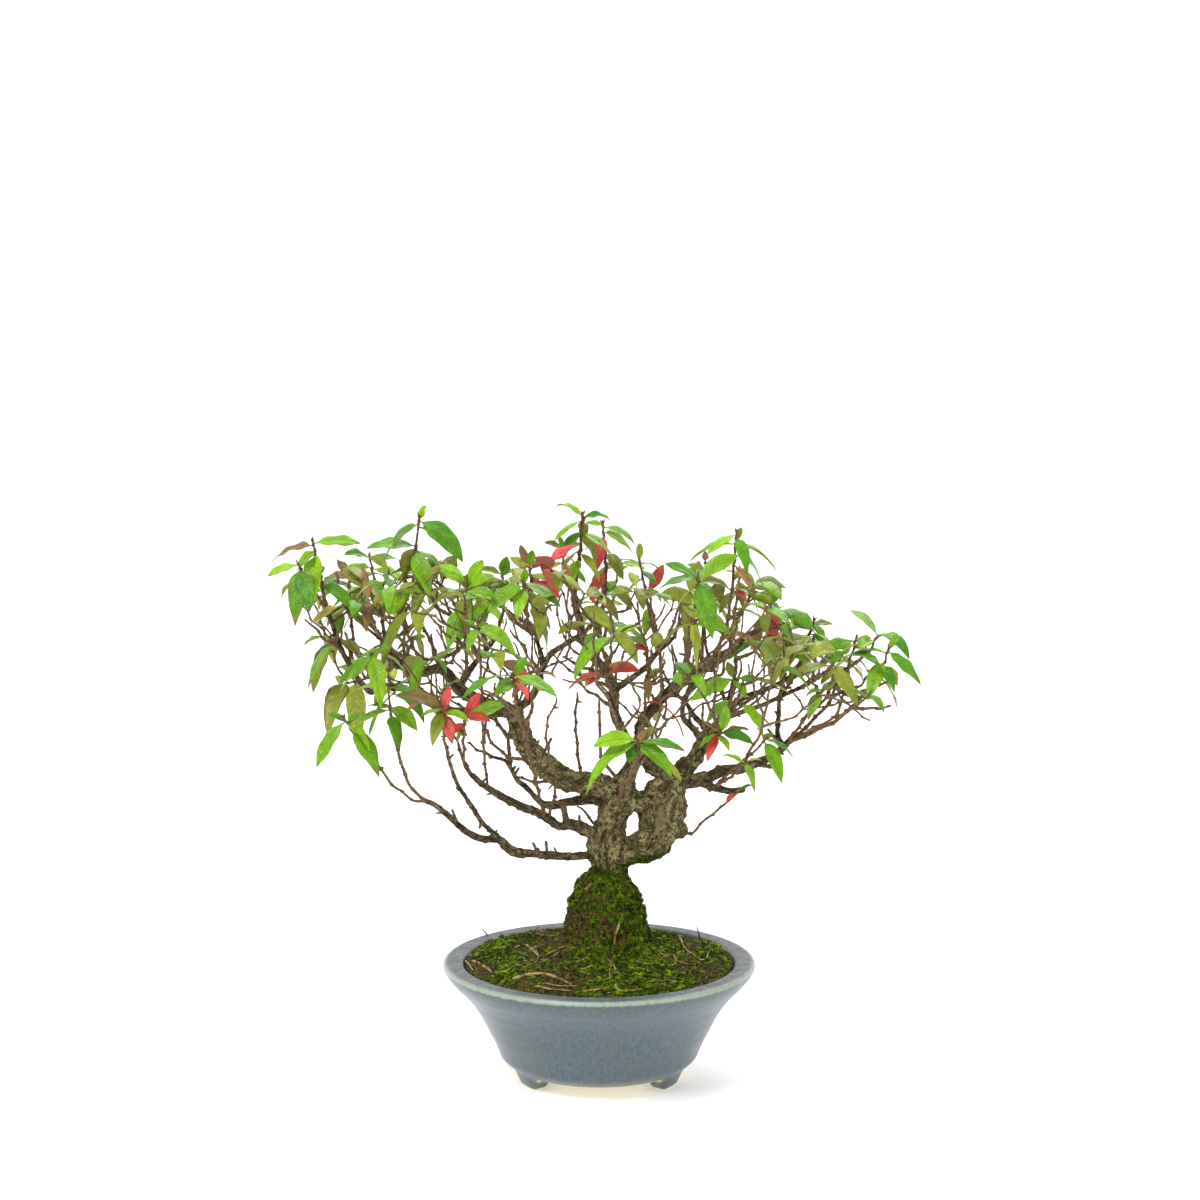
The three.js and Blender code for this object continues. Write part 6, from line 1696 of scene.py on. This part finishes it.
def moss_material():
    """Moss blades: each tuft its own green, dark at its foot and bright at its tips."""
    material, tree, at = new_material("moss")
    shade = layer(tree, "shade")
    tip = blend(tree, ramp(tree, shade, 0.3, 1.0), shaded(56, 72, 8), shaded(184, 228, 34))
    foot = blend(tree, shade, shaded(20, 24, 5), shaded(70, 88, 8))
    tone = blend(tree, ramp(tree, layer(tree, "rise"), 0.1, 0.9), foot, tip)
    tone = mottled(tree, at, tone, 150.0, 1.7)["Colour"]
    tone = mottled(tree, at, tone, 800.0, 1.3)["Colour"]
    return finish_with(material, tone, 0.7, 0.2)


def plain_material(name, light, dark, scale, roughness, depth):
    """A mottled natural finish between two tones, such as a root's, a straw's or a stone's."""
    material, tree, at = new_material(name)
    tone = blend(tree, ramp(tree, noise(tree, at, scale), 0.35, 0.65), shaded(*dark), shaded(*light))
    made = mottled(tree, at, tone, scale * 4, 0.35)
    return finish_with(material, made["Colour"], roughness, 0.3, made["Height"], depth)


def grit_material():
    """Grit: each grain between earth brown and pale grey."""
    material, tree, at = new_material("grit")
    shade = layer(tree, "shade")
    tone = blend(tree, ramp(tree, shade, 0.75, 1.0), shaded(72, 55, 36), shaded(150, 138, 116))
    made = mottled(tree, at, tone, 900.0, 0.6)
    return finish_with(material, made["Colour"], 0.9, 0.2, made["Height"], 0.0004)


# The pieces, each set in the frame

# the trunk's bare scar: picture u and v, half its width and half its height
SCAR = [33.5, 137.5, 3, 9.5]
SCAR_STOUT = 4
TENDRIL = "26 199, 24 203.5, 31 204.5, 39 199, 44 192, 46 185"
SOIL_TUFTS = 6100
TRUNK_TUFTS = 1500
TUFT_FLOOR = 100
SPURS = 90


def add_ground(finish):
    """Soil, moss over it, bare roots, straws, dry twigs and grit."""
    shape, share, (points, normals, area, moss) = soil_grid()
    add_piece("earth", shape, [soil_material()], "soil", ["soil"], moss=share)
    inside = np.hypot(points[:, 0], points[:, 1]) < SOIL_EDGE
    bare = np.hypot(points[:, 0] - MOUND_CENTRE, points[:, 1]) > TRUNK_ROOM
    weights = moss ** 2 * area * inside * bare
    tufts, shade, rise = moss_tufts(points, normals, weights, SOIL_TUFTS, 0.65, 2.0)
    add_piece("moss", tufts, [finish["moss"]], "soil", shade=shade, rise=rise)
    tan = plain_material("bare_root", (196, 168, 112), (124, 96, 56), 300.0, 0.75, 0.0004)
    add_piece("bare_roots", joined(root_shapes()), [tan], "soil")
    straw = plain_material("straw", (240, 232, 206), (176, 150, 104), 500.0, 0.6, 0.0002)
    straws = leaning_bits(STRAWS, 0.36) + loose_bits(LOOSE_STRAWS)
    add_piece("straws", joined(straws), [straw], "soil")
    twigs = joined(leaning_bits(DRY_TWIGS, 0.62))
    add_piece("dry_twigs", twigs, [finish["twig"]], "bark", young=np.full(len(twigs[0]), 0.6))
    grains, tone = grit(points, normals, moss * inside + 2 * ~inside, GRAINS)
    add_piece("grit", grains, [grit_material()], "soil", shade=tone)


def add_limbs(paths, finish):
    """Trunk and arms under their one skin of bark, and the moss that climbs the trunk."""
    points, normals, quads, flow, girth, moss, pits = wood_skin(paths)
    u, v = picture_point(points)
    scar_u, scar_v, wide, high = SCAR
    front = smoothstep(0.1, 0.5, -normals[:, 1])
    near = smoothstep(1.15, 0.75, np.hypot((u - scar_u) / wide, (v - scar_v) / high))
    add_piece("limbs", (points, [quads]), [finish["bark"]], "bark", ["tree_wood"],
              flow=flow, girth=girth, moss=moss, pits=pits, scar=front * near * (girth > SCAR_STOUT))
    weights = moss ** 2 * (points[:, 2] > TUFT_FLOOR)
    tufts, shade, rise = moss_tufts(points, normals, weights, TRUNK_TUFTS, 0.45, 1.2)
    add_piece("trunk_moss", tufts, [finish["moss"]], "bark", shade=shade, rise=rise)


def shoot_stem(centres, radii, nodes):
    """A shoot's whole stem with seeded knots on its bare part and one at each leaf."""
    run = arc_of(centres)
    at_leaves = np.sort(np.array(nodes)) * run[-1]
    bare = knots_along(max(at_leaves[0] - 3, 2), 6, 11)
    knots = np.concatenate([bare[bare < at_leaves[0] - 3], at_leaves])
    wide = 1 + 0.9 * np.exp(-run / 1.6)
    thin = 0.88 - 0.23 * smoothstep(0.5, 1, run / run[-1])
    bent, thick = knotty_stem(centres, radii * TWIG_FINE * wide * thin, knots, 0.5)
    return bent, thick, bare


def add_twigs(paths, shoots, finish):
    """Every bare twig, stub and bare foot of a shoot in one piece, each with how young it is;
    returns the shoots' leafy ends."""
    grown, stems = [], []
    for parent, radius, depth, text in STUBS:
        start = nearest_on(paths[parent], np.array(spots_of(text)[0]))[1]
        path = lay_path(paths[parent], radius, radius * 0.8, start + depth, text)
        grown.append((0.1, twig_shapes(path, 0.6)))
    for parent, *sizes, text in BARE_TWIGS:
        grown.append((0.35, twig_shapes(lay_path(paths[parent], *sizes, text), 0.9, 0.7)))
    grown.append((0.1, spurs(paths, SPURS)))
    for name, centres, radii, wood, nodes in shoots:
        bent, thick, knots = shoot_stem(centres, radii, nodes)
        cut = max(2, int(round(wood * (len(bent) - 1))))
        buds = bud_stubs(bent[:cut], thick[:cut], knots[knots < arc_of(bent)[cut] - 1])
        grown.append((0.45, [tube(bent[:cut + 1], thick[:cut + 1], TWIG_SIDES), *buds]))
        stems.append((name, bent[cut:], thick[cut:], len(nodes)))
    shapes = [shape for _, made in grown for shape in made]
    young = [share for share, made in grown for _ in made]
    add_piece("twigs", joined(shapes), [finish["twig"]], "bark", ["tree_wood"],
              young=spread_over(shapes, young))
    return stems


def add_leafy(stems, leaves, finish):
    """Each shoot's end: its thin stalk, the leaves round it and the bud at its tip."""
    points, tints, uv, upper, faces = leaf_blades(leaves, LEAF_STATIONS, LEAF_TOP, LEAF_UNDER)
    begin = 0
    for name, centres, thick, count in stems:
        own = slice(begin, begin + count)
        begin += count
        blades = points[own].reshape(-1, 3), repeated(faces, count, len(upper))
        bud = bud_shapes(centres[-1], norm(centres[-1] - centres[-3]))
        shape = joined([blades, tube(centres, thick, TWIG_SIDES), *bud])
        wood = len(shape[0]) - len(blades[0])
        every, green = (sum(len(array) for array in part[1]) for part in (shape, blades))
        add_piece(f"leafy_{name}", shape, [finish["leaf"], finish["twig"]], "leaf", [f"shoot_{name}"],
                  uv=np.vstack([np.tile(uv, (count, 1)), np.tile([0.5, 0], (wood, 1))]),
                  picks=np.arange(every) >= green,
                  tint=np.vstack([tints[own].reshape(-1, 3), np.zeros((wood, 3))]),
                  top=np.concatenate([np.tile(upper, count), np.zeros(wood)]),
                  young=np.concatenate([np.zeros(len(blades[0])), np.full(wood, 0.8)]))


def add_fine_growth(paths, shoots, finish):
    """The many finer twigs and smaller leaves that fill the crown between the laid ones."""
    twigs = fine_twigs(paths, shoots)
    shape = joined([tube(bent, thick, FINE_TWIG_SIDES) for bent, thick in twigs])
    add_piece("fine_twigs", shape, [finish["twig"]], "bark", young=np.full(len(shape[0]), 0.3))
    points, tints, uv, upper, faces = leaf_blades(small_leaves(twigs), SMALL_STATIONS, SMALL_TOP,
                                                  SMALL_UNDER)
    count = len(points)
    add_piece("small_leaves", (points.reshape(-1, 3), repeated(faces, count, len(upper))),
              [finish["leaf"]], "leaf", uv=np.tile(uv, (count, 1)), tint=tints.reshape(-1, 3),
              top=np.tile(upper, count))


def add_tendril(paths, finish):
    """The one thin red runner that arches from the middle arm."""
    path = lay_path(paths["middle_arm"], 0.7, 0.4, -14, TENDRIL)
    centres, radii = rounded(path, TWIG_STEP, 3)
    add_piece("tendril", tube(centres, radii, 6), [finish["runner"]], "bark")


def add_tree(finish):
    paths = limb_paths()
    shoots, leaves = leaf_table(paths)
    add_limbs(paths, finish)
    stems = add_twigs(paths, shoots, finish)
    add_leafy(stems, leaves, finish)
    add_fine_growth(paths, shoots, finish)
    add_tendril(paths, finish)


def add_pot():
    shape, layers = pot_shape()
    add_piece("glazed_pot", shape, [glaze_material()], "glaze", ["pot"], **layers)
    net = plain_material("net", (58, 60, 58), (40, 42, 40), 800.0, 0.55, 0.0001)
    add_piece("net", net_shape(), [net], "net", ["drain_screen"])


finishes = {
    "bark": bark_material(),
    "twig": twig_material(),
    "leaf": leaf_material(),
    "moss": moss_material(),
    "runner": plain_material("runner", (214, 118, 72), (176, 84, 52), 400.0, 0.6, 0.0002),
}
add_pot()
add_ground(finishes)
add_tree(finishes)


# Light and the pale studio

STUDIO_PROFILE = np.array([[-2.2, 0], [0.7, 0], [1.0, 0.03], [1.25, 0.13], [1.45, 0.3],
                           [1.58, 0.55], [1.64, 0.9], [1.66, 3.2]])
STUDIO_ROWS = 60
STUDIO_HALF_WIDTH = 3.5
SHEET_GLOW = 0.3
AIR_STRENGTH = 0.55
LIGHTS = [
    # name, where it stands, where it aims, its size and its power
    ["key", (-0.7, -1.1, 1.5), (0, 0, 0.15), 0.7, 20],
    ["fill", (1.1, -0.9, 0.9), (0, 0, 0.15), 0.9, 2],
    ["back", (0.3, 0.9, 1.3), (0, 0, 0.2), 0.8, 8],
]


def add_studio_wall():
    """One sheet of floor that curves up into the wall behind: a profile drawn along x."""
    even, given = (np.linspace(0, 1, count) for count in (STUDIO_ROWS, len(STUDIO_PROFILE)))
    rows = np.stack([np.interp(even, given, column) for column in STUDIO_PROFILE.T], -1)
    x = np.array([-STUDIO_HALF_WIDTH, STUDIO_HALF_WIDTH])
    points = np.stack(np.broadcast_arrays(x[None], rows[:, :1], rows[:, 1:]), -1).reshape(-1, 3)
    k = np.arange(len(rows) - 1) * 2
    quads = np.stack([k, k + 1, k + 3, k + 2], -1)
    mesh = bpy.data.meshes.new("studio")
    mesh.from_pydata(points.tolist(), [], quads.tolist())
    mesh.polygons.foreach_set("use_smooth", np.ones(len(quads), bool))
    material, tree, at = new_material("studio_paper")
    cloud = noise(tree, at, 3.0)
    tone = blend(tree, cloud, shaded(250, 250, 250), shaded(254, 254, 254))
    finish_with(material, tone, 0.9, 0.1, Emission_Color=(1, 1, 1, 1), Emission_Strength=SHEET_GLOW)
    mesh.materials.append(material)
    sheet = bpy.data.objects.new("studio", mesh)
    bpy.context.scene.collection.objects.link(sheet)


def add_light(name, place_at, aim, size, power):
    light = bpy.data.lights.new(name, "AREA")
    light.shape = "DISK"
    light.size = size
    light.energy = power
    made = bpy.data.objects.new(name, light)
    made.location = place_at
    direction = np.array(aim) - place_at
    reach = math.hypot(direction[0], direction[1])
    made.rotation_euler = (math.atan2(reach, -direction[2]), 0,
                           math.atan2(direction[1], direction[0]) - math.pi / 2)
    bpy.context.scene.collection.objects.link(made)


def add_light_and_air():
    """A white room, one large soft light above and in front, a weak one from the right and a
    third from behind."""
    world = bpy.data.worlds.new("studio_air")
    world.use_nodes = True
    world.node_tree.nodes["Background"].inputs["Color"].default_value = (1, 1, 1, 1)
    world.node_tree.nodes["Background"].inputs["Strength"].default_value = AIR_STRENGTH
    bpy.context.scene.world = world
    bpy.context.scene.view_settings.view_transform = "Standard"
    for light in LIGHTS:
        add_light(*light)


add_studio_wall()
add_light_and_air()
